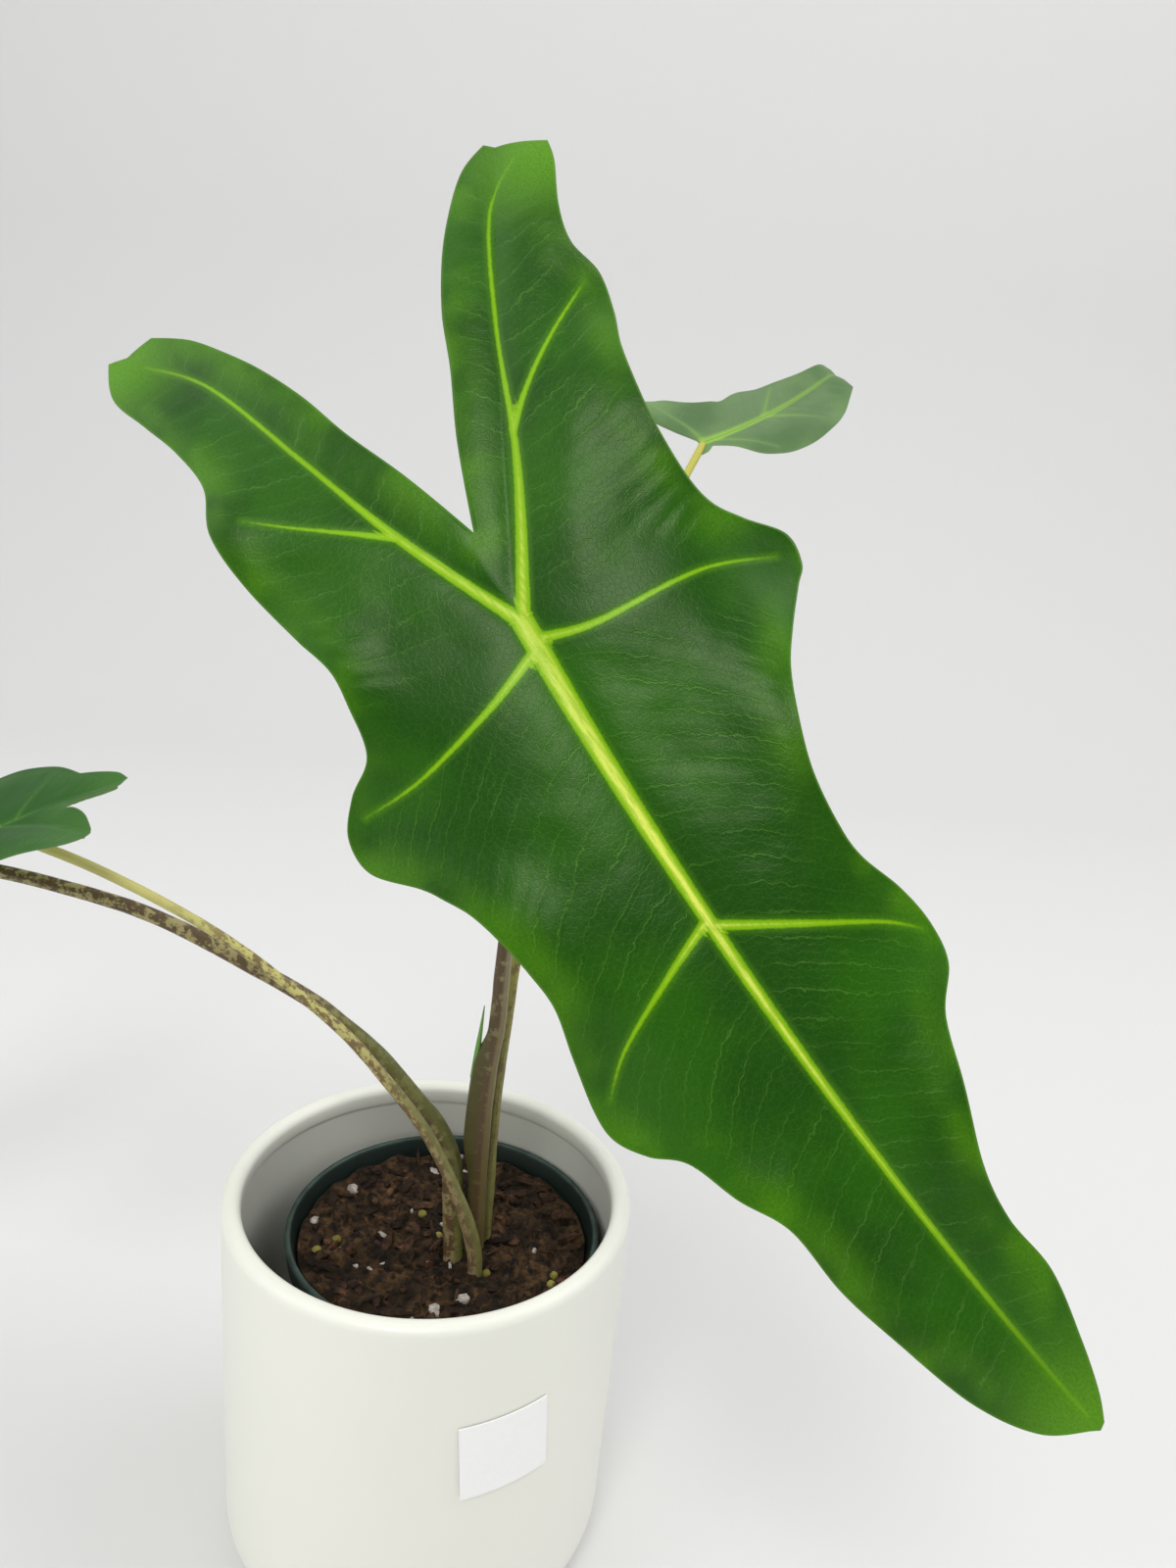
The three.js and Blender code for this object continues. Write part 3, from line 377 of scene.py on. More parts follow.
def label_shell(columns=40, rows=36):
    """A closed sheet: its rows run round the front and the back like a belt, and each point at (along,
    height) goes to the angle along / radius on the pot."""
    front = np.linspace(-0.5, 0.5, columns)
    along = np.concatenate([front, front[::-1]]) * LABEL_WIDTH
    out = np.concatenate([np.ones(columns), np.zeros(columns)]) * LABEL_THICKNESS
    height = np.linspace(-0.5, 0.5, rows)[:, None] * LABEL_HEIGHT
    radius = cover_radius(LABEL_Z + LABEL_HEIGHT / 2) + CLEARANCE
    angle = LABEL_ANGLE + (along - LABEL_TILT * height) / radius
    reach = radius + np.broadcast_to(out, angle.shape)
    points = np.stack([*around((0, 0), reach, angle), LABEL_Z + height + LABEL_TILT * along], -1)
    quads = grid_quads(rows, 2 * columns, wrap=True)
    k = np.arange(columns - 1)
    ends = [np.stack([k, k + 1, 2 * columns - 2 - k, 2 * columns - 1 - k], -1) + start
            for start in (0, (rows - 1) * 2 * columns)]
    return points.reshape(-1, 3), np.vstack([quads, *ends])


label = new_piece("blank_label", *label_shell(), replaces=["label"], slot="white_paper")

# %% [markdown]
# ## The soil
# Potting mix is peat crumbs with grains of perlite, chips of bark and a few feed pellets. The heap is
# a disc of fine rings whose height is low waves, a rise round the stalks, and three sizes of noise
# for the crumbs. Its side and bottom follow the growing pot's wall.

# %% Heap the soil
SOIL_LEVEL, SOIL_ROUGHNESS, SOIL_HUMP = 103.6, 0.9, 1.2
CROWN, CROWN_SPREAD = (14.0, -3.0), 260


def soil_waves(x, y):
    """The large shape of the soil's top: two crossed sine waves and a low hump round the stalks."""
    waves = np.sin(0.31 * x + 1.1) * np.cos(0.27 * y - 0.4) + 0.6 * np.sin(0.53 * y + 0.19 * x)
    hump = np.exp(-((x - CROWN[0]) ** 2 + (y - CROWN[1]) ** 2) / CROWN_SPREAD)
    return SOIL_LEVEL + SOIL_ROUGHNESS * waves + SOIL_HUMP * (hump - 0.5)


def crumbs(x, y):
    """Crumbs: noise of three sizes, with the coarse one folded upwards into rounded lumps."""
    coarse = 1 - 2 * np.abs(noise(x, y, 3.1, 1))
    return 1.1 * coarse + 0.7 * noise(x, y, 1.5, 2) + 0.35 * noise(x, y, 0.8, 3)


def inside_radius(z):
    """The growing pot's inner radius at a height."""
    return inside_low + (z - inside_z) / (band_z - inside_z) * (wall_top - GROW_WALL - inside_low)


def soil_heap(rings=120, sides=320):
    """Rings from the bottom's centre, out, up the wall, and in over the top to its centre."""
    bottom_z = inside_z + CLEARANCE
    rim = inside_radius(band_z) - CLEARANCE
    radius = np.concatenate([[0, inside_radius(bottom_z) - CLEARANCE, rim], rim * np.linspace(1, 0, rings)])
    x, y = around(GROW_CENTRE, radius[:, None], circle_angles(sides))
    z = soil_waves(x, y) + crumbs(x, y) * smoothstep(rim - radius[:, None], 0, 3)
    z[:2] = bottom_z
    z[2] = band_z - 1.5
    return np.stack([x, y, z], -1).reshape(-1, 3), grid_quads(len(radius), sides, wrap=True)


soil = new_piece("soil_heap", *soil_heap(), replaces=["soil"], slot="potting_soil", sharp=180)

# %% [markdown]
# ## Grains in the soil
# A grain is a small ball of 80 faces, stretched, turned and dented at random. All grains of one kind
# are worked out as one array, with a fixed seed, and sunk over a third into the soil where they lie.

# %% Scatter the grains
def ball_template():
    """Unit ball of 42 points and 80 triangles, as two arrays."""
    work = bmesh.new()
    bmesh.ops.create_icosphere(work, subdivisions=2, radius=1.0)
    points = np.array([v.co for v in work.verts])
    faces = np.array([[v.index for v in f.verts] for f in work.faces])
    work.free()
    return points, faces


def scattered(count, sizes, dent, seed, keep_off=6.0, above=0.25):
    """Grains at even random spots on the soil, off the crown. A grain's point p goes to
    centre + turn (size p (1 + dent)), where turn is a random turn about the vertical and a lean."""
    draw = np.random.default_rng(seed)
    ball, faces = ball_template()
    rim = inside_radius(band_z) - 3.0
    tries = 6 * count
    distance = rim * np.sqrt(draw.uniform(0, 1, tries))
    x, y = around(GROW_CENTRE, distance, draw.uniform(0, 2 * np.pi, tries))
    clear = np.hypot(x - CROWN[0], y - CROWN[1]) > keep_off
    x, y = x[clear][:count], y[clear][:count]
    size = draw.uniform(*np.array(sizes).T, (count, 3))
    dents = 1 + dent * draw.uniform(-1, 1, (count, len(ball), 1))
    shape = ball[None] * size[:, None, :] * dents
    spin, lean = draw.uniform(0, 2 * np.pi, count), draw.uniform(-0.5, 0.5, count)
    cs, sn, cl, sl = np.cos(spin), np.sin(spin), np.cos(lean), np.sin(lean)
    zero = np.zeros(count)
    turn = np.array([[cs * cl, -sn, cs * sl], [sn * cl, cs, sn * sl], [-sl, zero, cl]]).transpose(2, 0, 1)
    z = soil_waves(x, y) + crumbs(x, y) + above * size[:, 2]
    points = np.einsum("gij,gpj->gpi", turn, shape) + np.stack([x, y, z], -1)[:, None, :]
    tint = np.repeat(draw.uniform(0, 1, count), len(ball))
    all_faces = (faces[None] + len(ball) * np.arange(count)[:, None, None]).reshape(-1, 3)
    return points.reshape(-1, 3), all_faces, {"tint": tint}


perlite, bark, pellets = (
    new_piece(name, *scattered(count, sizes, dent, seed), slot="potting_soil", sharp=sharp)
    for name, count, sizes, dent, seed, sharp in (
        ("perlite_grains", 24, [(0.5, 2.5), (0.5, 1.9), (0.4, 1.4)], 0.3, 11, 180),
        ("bark_chips", 220, [(0.9, 4.8), (0.5, 2.0), (0.4, 1.2)], 0.3, 12, 40),
        ("feed_pellets", 8, [(1.3, 1.7), (1.3, 1.6), (1.2, 1.5)], 0.07, 13, 180)))

# %% [markdown]
# ## The stalks
# A stalk is a section carried along a curve through a few chosen points. The curve is a centripetal
# Catmull-Rom, which doesn't overshoot where the points lie unevenly. Low down, the section has a
# wing, the sheath that the next leaf grew out of, and it fades out in a shoulder. Nine faint ribs
# and a little noise keep the skin uneven.

# %% Routes of the four stalks
ROOT_Z = 92.0
STALKS = {
    "stalk_front": dict(
        route=[[14.7, -1, ROOT_Z], [14.8, -1, 101], [14.9, -1, 117], [14.7, -0.8, 138], [15.1, -0.6, 156],
               [16, -0.3, 171.4], [17.4, 0, 184], [18.1, 0.2, 207], [20, -4, 242], [22, -16, 275],
               [23.6, -36, 302], [24, -58, 316], [22.6, -80.6, 319]],
        sideways=[1, 0, 0], foot=3.2, top=2.0, sheath=[0.14, 0.2, 0.29, 0.34], wing=0.9, wing_angle=180),
    "stalk_back": dict(
        route=[[17.8, 5.6, ROOT_Z], [17.8, 5.6, 101], [17.6, 5.8, 127], [18, 6.2, 145], [18.5, 7, 161],
               [19.7, 8.5, 179], [21.2, 12, 202], [25, 22, 234], [34, 44, 274], [48, 76, 312],
               [61, 107, 341], [69.6, 129, 357.6]],
        sideways=[0.9, -0.43, 0], foot=2.0, top=1.4, sheath=[0.04, 0.1, 0.11, 0.16], wing=0.3,
        wing_angle=90),
    "stalk_left": dict(
        route=[[16.4, -11.3, ROOT_Z], [16.6, -11.4, 101], [16.2, -11.4, 109], [13.6, -11.2, 120],
               [7.7, -10.5, 135.3], [-1.4, -9.6, 152], [-15, -8.8, 169], [-26.5, -8.5, 181.6],
               [-42.2, -8.5, 194.6], [-55.8, -8.6, 204.9], [-72.9, -9.6, 215.7], [-98, -12.2, 228.9],
               [-122.9, -15.6, 239.2]],
        sideways=[0, -1, 0], foot=2.2, top=1.4, sheath=[0.04, 0.12, 0.14, 0.2], wing=0.25, wing_angle=90),
    "stalk_far_left": dict(
        route=[[9.1, -4.8, ROOT_Z], [9, -4.8, 101], [8.1, -4, 113.5], [7, -2.6, 125], [5.6, -0.6, 136],
               [0.3, 1, 147], [-7.3, 2, 155.3], [-18.6, 2.6, 168], [-35.8, 2.4, 183.4], [-58.4, 2, 196.2],
               [-88.7, 1.6, 210.1], [-117.3, 1, 217.3], [-134, 1, 220], [-158, 3, 221.4], [-184, 9, 219],
               [-211, 18, 211], [-234, 26, 200]],
        sideways=[0, -1, 0], foot=3.0, top=2.0, sheath=[0.06, 0.14, 0.27, 0.32], wing=0.35, wing_angle=90),
}


def curve_through(route, count, short=1.2, fineness=60):
    """Centripetal Catmull-Rom points at equal steps of length, with their directions. Between two
    chosen points it is a cubic whose end slopes weigh the neighbouring steps by the square root of
    their lengths. The line stops short of its last point, which lies inside the blade."""
    route = np.asarray(route, float)
    padded = np.vstack([2 * route[0] - route[1], route, 2 * route[-1] - route[-2]])
    steps = np.sqrt(np.linalg.norm(np.diff(padded, axis=0), axis=1))[:, None]
    slopes = np.diff(padded, axis=0) / steps
    skip = (padded[2:] - padded[:-2]) / (steps[1:] + steps[:-1])
    tangent = slopes[:-1] - skip + slopes[1:]
    share = np.linspace(0, 1, fineness, endpoint=False)[None, :, None]
    start, end = route[:-1, None], route[1:, None]
    leave, arrive = tangent[:-1, None] * steps[1:-1, None], tangent[1:, None] * steps[1:-1, None]
    line = np.vstack([cubic(start, end, leave, arrive, share).reshape(-1, 3), route[-1:]])
    length = np.concatenate([[0], np.cumsum(np.linalg.norm(np.diff(line, axis=0), axis=1))])
    at = np.linspace(0, length[-1] - short, count)
    even = np.stack([np.interp(at, length, line[:, k]) for k in range(3)], -1)
    return even, unit(np.gradient(even, axis=0)), at


def stalk_section(stalk, share, angle):
    """Radius at a share of the length and an angle: it narrows evenly up to 60 % of the length, and the
    wing adds a rounded ridge at its angle between the sheath's shares."""
    radius = stalk["foot"] + (stalk["top"] - stalk["foot"]) * np.minimum(1, share / 0.6)
    begin, full, fade, gone = stalk["sheath"]
    wing = smoothstep(share, begin, full) * (1 - smoothstep(share, fade, gone))
    facing = np.exp(-((np.cos(angle - np.radians(stalk["wing_angle"])) - 1) ** 2) / 0.35)
    return radius * (1 + stalk["wing"] * wing * facing)


def swept(line, direction, sideways, radius, angle):
    """Point at (step, angle) = line + radius (cos angle first + sin angle second), where first is
    sideways made square to the direction, and second is square to both. Two end rings of radius 0
    close it."""
    sideways = np.asarray(sideways, float)
    first = unit(sideways - direction * (direction @ sideways)[:, None])
    second = np.cross(direction, first)
    ring = (line[:, None] + radius[..., None] * (np.cos(angle)[None, :, None] * first[:, None]
                                                 + np.sin(angle)[None, :, None] * second[:, None]))
    ends = [np.repeat(line[k][None, None], len(angle), 1) for k in (0, -1)]
    return np.concatenate([ends[0], ring, ends[1]]).reshape(-1, 3)


SPOTTED = ("stalk_front", "stalk_far_left")
RIBS, RIB_HEIGHT, SKIN_NOISE = 9, 0.045, 0.03
sides, steps = 28, 260
angle = circle_angles(sides)
stalk_pieces = {}
for name, stalk in STALKS.items():
    line, direction, along = curve_through(stalk["route"], steps)
    share = (along / along[-1])[:, None]
    uneven = RIB_HEIGHT * np.sin(RIBS * angle) + SKIN_NOISE * noise(angle * 3 + 40, along[:, None], 6, 5)
    radius = stalk_section(stalk, share, angle) * (1 + uneven)
    points = swept(line, direction, stalk["sideways"], radius, angle)
    facing = np.tile(angle, steps + 2)
    height = np.repeat(np.concatenate([along[:1], along, along[-1:]]), sides)
    stalk_pieces[name] = new_piece(
        name + "_grown", points, grid_quads(steps + 2, sides, wrap=True),
        attributes={"along": height, "around_x": np.cos(facing), "around_y": np.sin(facing)},
        replaces=[name], slot="spotted_stalk" if name in SPOTTED else "pale_stalk", sharp=180)
    print(name, round(along[-1]), "mm long")

# %% [markdown]
# ## The new leaf
# The tip of the next leaf stands beside the front stalk, where its sheath opens: a leaf that is still
# rolled up. It is a thin cone with a spiral edge, which is a step in its radius that turns with height.

# %% Roll the new leaf
def rolled_leaf(steps=60, sides=32):
    """A cone whose radius fades as 1 - 0.85 share^1.5, with a step of an eighth of the radius at an
    angle that turns half round from foot to tip."""
    foot_at, tip_at = np.array([11.4, -0.2, 166.0]), np.array([13.3, -0.2, 190.5])
    share = np.linspace(0, 1, steps)[:, None]
    line = foot_at + share * (tip_at - foot_at)
    direction = np.tile(unit(tip_at - foot_at), (steps, 1))
    angle = circle_angles(sides)
    edge = ((angle + np.pi * share) % (2 * np.pi)) / (2 * np.pi)
    radius = 1.15 * (1 - 0.85 * share ** 1.5) * (0.88 + 0.12 * edge)
    return swept(line, direction, [0, -1, 0], radius, angle), grid_quads(steps + 2, sides, wrap=True)


spear = new_piece("new_leaf_rolled", *rolled_leaf(), replaces=["new_leaf_spear"], slot="young_green")

# %% [markdown]
# ## The leaves: their outlines
# A leaf is described flat, in its own plane: s runs down the midrib from the stalk's joint and w runs
# out from it, right positive. A row of feet on the midrib is paired with points on each margin. The
# two back lobes have an inner and an outer line of their own, and the veins are routes in the plane.

# %% Flat shapes of the leaves
GROWN = dict(
    length=194, lobe=100, half=50, bow=5, costa_right=0.6, costa_left=0.34, spacing=6.0, pale=1.0,
    midrib_end=0.6,
    feet=[-22, -14, -6, 0, 7, 14, 21, 27, 34, 41, 49, 58, 67, 75, 84, 93, 102, 112, 122, 134, 147, 160,
          174, 186, 194],
    right=[[-28, 48], [-19, 46], [-7, 45], [1, 46], [7, 50], [14, 56], [21, 55], [25, 51], [32, 44],
           [39, 38], [48, 33], [58, 29], [69, 27], [77, 27], [87, 30], [96, 31], [104, 29], [111, 22],
           [122, 17], [136, 11], [148, 9], [161, 10], [176, 7], [187, 4], [193, 1.5]],
    left=[[-24, -40], [-15, -38], [-7, -39], [3, -42], [7, -50], [13, -56], [22, -56], [32, -48],
          [37, -45], [43, -42], [51, -40], [59, -39], [67, -39], [77, -42], [88, -45], [95, -45],
          [101, -41], [106, -35], [116, -31], [126, -26], [141, -25], [155, -22], [174, -17],
          [187, -10], [193, -1.5]],
    right_lobe=([[-104, 57], [-100, 49], [-92, 41], [-82, 33], [-69, 25], [-56, 19], [-41, 11]],
                [[-92, 68], [-86, 66], [-75, 60], [-66, 57], [-57, 58], [-47, 55], [-38, 51]]),
    left_lobe=([[-116, -31], [-107, -24], [-97, -19], [-85, -14], [-72, -10], [-58, -7], [-41, -2]],
               [[-118, -43], [-105, -46], [-92, -43], [-80, -40], [-67, -39], [-55, -43], [-41, -43]]),
    veins=[(None, 2.2),
           ([[-0.8, 0.5], [-20, 13], [-36, 22], [-60, 33], [-86, 48], [-94, 60]], 1.5),
           ([[-0.8, -0.3], [-31, -11], [-59, -18], [-91, -26], [-110, -36]], 1.5),
           ([[4, 0], [9, 12], [12, 36], [17, 51]], 1.1),
           ([[6, -1], [11, -16], [14, -35], [12, -50]], 1.1),
           ([[71, -5], [81, 10], [90, 23], [96, 29]], 1.0),
           ([[70, -5], [74, -16], [81, -32], [88, -41]], 1.0),
           ([[-36, 22], [-43, 31], [-53, 47], [-57, 54]], 0.8),
           ([[-31, -11], [-42, -23], [-54, -36]], 0.8)],
)
YOUNG = dict(
    length=88, lobe=36, half=30, bow=1, costa_right=0.5, costa_left=0.4, spacing=4.6, pale=0.5,
    midrib_end=0.5,
    feet=[-19, -10, -2, 6, 15, 25, 35, 46, 58, 70, 81, 88],
    right=[[-22, 24], [-13, 24], [-4, 26], [5, 28], [15, 28], [25, 27], [36, 25], [47, 20], [59, 15],
           [71, 11], [81, 6], [87, 1.5]],
    left=[[-20, -18.5], [-12, -26], [-3, -30], [6, -32], [15, -31], [25, -27], [36, -26], [47, -22],
          [59, -15], [70, -10], [81, -6], [87, -1.5]],
    right_lobe=([[-29, 12], [-27, 7], [-23, 2.5]], [[-30, 16], [-29, 20], [-26, 23]]),
    left_lobe=([[-34, -6], [-30, -4.5], [-24, -2.5]], [[-34.5, -12], [-31.5, -15], [-26, -17]]),
    veins=[(None, 1.5), ([[-0.5, 0.3], [-15, 8], [-28, 16]], 0.9),
           ([[-0.5, -0.2], [-16, -5], [-32, -8]], 0.9), ([[-5, -1.6], [-8, -12], [-12, -23]], 0.7),
           ([[3, 0], [9, 12], [12, 25]], 0.8), ([[3, 0], [8, -13], [10, -28]], 0.8),
           ([[30, 0], [37, 9], [41, 19]], 0.7), ([[30, 0], [37, -10], [42, -20]], 0.7)],
)
SMALLEST = dict(
    length=70, lobe=12, half=30, bow=4.4, costa_right=4, costa_left=1, spacing=4.6, pale=1.2,
    midrib_end=0.5,
    feet=[-1, 5, 11, 18, 26, 34, 41, 47, 53, 59, 65, 70],
    right=[[9.8, 19.8], [14, 15], [17.4, 12], [26.5, 13.6], [33, 10], [38.5, 8], [44, 6.5], [49, 5.4],
           [54, 5], [59, 5], [65, 4], [69.5, 1.5]],
    left=[[1, -4], [6.6, -9.8], [11.7, -18], [17.6, -22], [24.4, -24.8], [32, -26.3], [40.5, -25.2],
          [47, -22.5], [52, -19], [58, -14], [64, -8.5], [69.5, -1.5]],
    right_lobe=([[-7.3, 29.5], [-9, 24], [-5.4, 12]], [[-4, 30.3], [2, 28.2], [6.5, 23.5]]),
    left_lobe=([[-5.5, -3], [-3.5, -1.5]], [[-5, -5], [-2, -5.5]]),
    veins=[(None, 1.3), ([[0.2, 0.6], [-0.5, 12], [-3.5, 27]], 0.8),
           ([[4.5, -2.5], [12, -10.5], [19, -19]], 0.7), ([[24, -4], [31, 2], [36, 6.5]], 0.7),
           ([[26, -5], [34, -13], [39, -20]], 0.7)],
)
LEAVES = {
    "leaf_front": dict(
        kind=GROWN, stalk="stalk_front", tipward=[0.638, -0.388, -0.665],
        face=[-0.119, -0.903, 0.413], scale=1, mirror=1, bend=0.2, tip_bend=0.14, tip_start=120,
        lobe_bend=0.28, fold=2.6, curl=4.5, grid=(330, 72), thickness=0.75,
        swells=[[20, 56, -7, 17], [97, 32, -6, 16], [15, -57, -7, 17], [92, -46, -6, 17],
                [52, 36, 2.5, 14], [52, -42, 2.5, 14], [-52, 58, -4, 14], [-55, -44, 3, 12],
                [130, 14, 2, 14], [125, -28, 2, 14], [-20, 48, 2, 13], [-12, -40, 2, 13]]),
    "leaf_far_left": dict(
        kind=GROWN, stalk="stalk_far_left", tipward=[-0.5, -0.15, -0.85], face=[-0.78, -0.2, 0.57],
        scale=0.86, mirror=-1, bend=0.3, tip_bend=0.2, tip_start=120, lobe_bend=0.35, fold=3, curl=5,
        grid=(230, 56), thickness=0.75,
        swells=[[20, 56, -6, 18], [97, 32, -5, 16], [15, -57, -8, 18], [92, -46, -5, 17],
                [55, 36, 3, 14], [50, -42, 2, 14], [-52, 58, -3, 14], [-58, -44, 3, 12],
                [128, 14, 2, 14], [125, -28, 3, 14]]),
    "leaf_left": dict(
        kind=YOUNG, stalk="stalk_left", tipward=[-0.93, -0.1, -0.35], face=[0, -0.2, 1],
        scale=1, mirror=1, bend=-0.3, tip_bend=0.4, tip_start=60, lobe_bend=0.05, fold=1.8, curl=-0.8,
        grid=(170, 48), thickness=0.7,
        swells=[[-28, 16, -2, 8], [10, 28, -1.5, 9], [30, 26, 2, 10], [-31, -9, -1, 8],
                [12, -31, -1.5, 9], [32, -26, 2, 10], [60, 14, -1.5, 10], [55, -16, 1.5, 9]]),
    "leaf_back": dict(
        kind=SMALLEST, stalk="stalk_back", tipward=[0.771, 0.381, 0.51],
        face=[-0.165, -0.653, 0.739], scale=1, mirror=1, bend=0, tip_bend=3.2, tip_start=52, lobe_bend=0,
        fold=1.5, curl=3, grid=(150, 44), thickness=0.7,
        swells=[[-5, 30, 2.5, 12], [18, 15, 1.5, 7], [31, 15, -1.5, 8], [22, -21, -1.5, 9],
                [38, -22, 1, 8]]),
}
print("leaves:", len(LEAVES))

# %% [markdown]
# ## The leaves: how they bend
# The midrib bends in one plane by an angle that grows along it. The blade is then lifted off the
# midrib: it folds down at the main veins, it rolls back towards the margin, and a few swells make it
# uneven. Fine relief is added on top: the blade is puffed up a little between its secondary veins.

# %% Bend a leaf
BEND_STEPS = 24
COSTA_ROUND, FOLD_REACH, TIP_TAPER = 4, 0.18, 0.25


def midrib_of(kind, s):
    """The midrib leans to the left by 4 bow s (length - s) / length^2."""
    return -4 * kind["bow"] * s * (kind["length"] - s) / kind["length"] ** 2


def place_on(leaf, s, w):
    """Points of the blade at (s, w), in three steps: the midrib's own bend, where each short step
    advances by (cos turn, -sin turn); the rise of the blade at (s, w), square to the bent midrib; and w
    straight across."""
    kind = leaf["kind"]
    tipward = unit(np.array(leaf["tipward"]))
    face = unit(leaf["face"] - tipward * np.dot(leaf["face"], tipward))
    across = np.cross(face, tipward) * leaf["mirror"]

    def turn(t):
        late = np.maximum(0, (t - leaf["tip_start"]) / (kind["length"] - leaf["tip_start"]))
        onward = leaf["bend"] * t / kind["length"] + leaf["tip_bend"] * late ** 2
        return np.where(t < 0, -leaf["lobe_bend"] * (np.maximum(-t, 0) / kind["lobe"]) ** 1.5, onward)

    middles = (np.arange(BEND_STEPS) + 0.5) / BEND_STEPS
    angles = turn(np.multiply.outer(s, middles))
    along, out = s * np.cos(angles).mean(-1), -s * np.sin(angles).mean(-1)

    side = np.where(w < 0, -1, 1)
    slope = kind["costa_left"] + (kind["costa_right"] - kind["costa_left"]) * smoothstep(w, -8, 8)
    costa = slope * (np.sqrt(np.minimum(s, 0) ** 2 + COSTA_ROUND ** 2) - COSTA_ROUND)
    away = np.abs(w - np.where(s > 0, midrib_of(kind, s), side * costa))
    taper = np.clip((kind["length"] - s) / (TIP_TAPER * kind["length"]), 0, 1)
    rise = leaf["fold"] * (1 - np.exp(-away / (FOLD_REACH * kind["half"]))) * taper
    rise = rise - leaf["curl"] * (away / kind["half"]) ** 2
    for s0, w0, amount, reach in leaf["swells"]:
        rise = rise + amount * np.exp(-((s - s0) ** 2 + (w - w0) ** 2) / reach ** 2)

    angle = turn(s)
    flat = np.stack([along + rise * np.sin(angle), out + rise * np.cos(angle), w], -1)
    joint = STALKS[leaf["stalk"]]["route"][-1]
    return joint + leaf["scale"] * flat @ np.stack([tipward, face, across])


def normals_on(leaf, s, w):
    """Directions out of the upper face, from differences over one millimetre each way."""
    down = place_on(leaf, s + 0.5, w) - place_on(leaf, s - 0.5, w)
    over = place_on(leaf, s, w + 0.5) - place_on(leaf, s, w - 0.5)
    return unit(np.cross(down, over) * leaf["mirror"])


BLOCK = 4000


def distance_to(line, s, w):
    """For each (s, w): its distance to a line of points, how far along the line the nearest spot is,
    from 0 to 1, and its side of the line, 1 or -1. Points are worked on in blocks, to save memory."""
    start, step = line[:-1], np.diff(line, axis=0)
    size = (step ** 2).sum(-1)
    place = np.stack([s, w], -1)
    gap, share, side = np.empty(len(place)), np.empty(len(place)), np.empty(len(place))
    for first in range(0, len(place), BLOCK):
        part = slice(first, first + BLOCK)
        block = place[part, None]
        t = np.clip(((block - start) * step).sum(-1) / size, 0, 1)
        gaps = np.linalg.norm(block - start - t[..., None] * step, axis=-1)
        nearest = gaps.argmin(1)
        rows = np.arange(len(nearest))
        gap[part] = gaps[rows, nearest]
        share[part] = (nearest + t[rows, nearest]) / len(step)
        away, step_there = (block - start)[rows, nearest], step[nearest]
        turning = step_there[:, 0] * away[:, 1] - step_there[:, 1] * away[:, 0]
        side[part] = np.where(turning < 0, -1.0, 1.0)
    return gap, share, side


def distance_to_points(points, s, w):
    """Distance from each (s, w) to the nearest of the points, in blocks."""
    gap = np.empty(len(s))
    for first in range(0, len(s), BLOCK):
        part = slice(first, first + BLOCK)
        squares = (s[part, None] - points[:, 0]) ** 2 + (w[part, None] - points[:, 1]) ** 2
        gap[part] = np.sqrt(squares.min(1))
    return gap


def vein_line(kind, route, count=60, short=4):
    """A vein as points in the plane. One without a route is the midrib, which stops short of the tip."""
    if route is None:
        s = np.linspace(0, kind["length"] - short, count)
        return np.stack([s, midrib_of(kind, s)], -1)
    return smooth_line(route, np.linspace(0, len(route) - 1, count))


def leaf_noise(s, w, size, seed, shift=300):
    """Noise over a blade, shifted so that the lattice's first lines lie off it."""
    return noise(s + shift, w + shift, size, seed)


print("leaf surface ready")

# %% [markdown]
# ## The leaves: fine blades
# Each half of a blade is one grid: its rows run from the inner line (the lobe's inner edge, then the
# midrib) out to the margin. The two halves share the midrib. The same grid makes the upper and the
# lower face, with a rim round the margin, and the lower face bulges out along the veins.

# %% Build the leaves
HALF_SPACING, UV_SCALE, UV_SHIFT = 0.85, 100, 2


def half_grid(kind, side, rows, columns):
    """(s, w) of one half: the inner line and the outer line, each spaced evenly, and points between
    them at share^0.85 of the way, which keeps them denser at the midrib."""
    feet = [[s, midrib_of(kind, s)] for s in kind["feet"]]
    lobes = kind[side + "_lobe"]
    lobe_points, body_points = len(lobes[0]), len(feet)
    lobe_rows = int(rows * lobe_points / (lobe_points + body_points))
    lobe_at = np.linspace(0, lobe_points, lobe_rows, endpoint=False)
    body_at = np.linspace(0, body_points - 1, rows - lobe_rows)
    inner, outer = (np.vstack([smooth_line([*lobe, body[0]], lobe_at), smooth_line(body, body_at)])
                    for lobe, body in zip(lobes, (feet, kind[side])))
    share = (np.linspace(0, 1, columns) ** HALF_SPACING)[None, :, None]
    return inner[:, None] + share * (outer - inner)[:, None]


MAIN_VEINS, FAR, VEIN_SHIFT = 3, 99.0, 200
TAPER_POWERS, SIDE_TAPER_POWER = (1.35, 2.3, 2.3), 1.7
SIDE_LEAN, SIDE_CURVE, VEIN_END = 0.3, 0.012, 0.5
BULGE_HEIGHT, BULGE_REACH, HUB_SHARE = 1.9, 1.5, 1.3


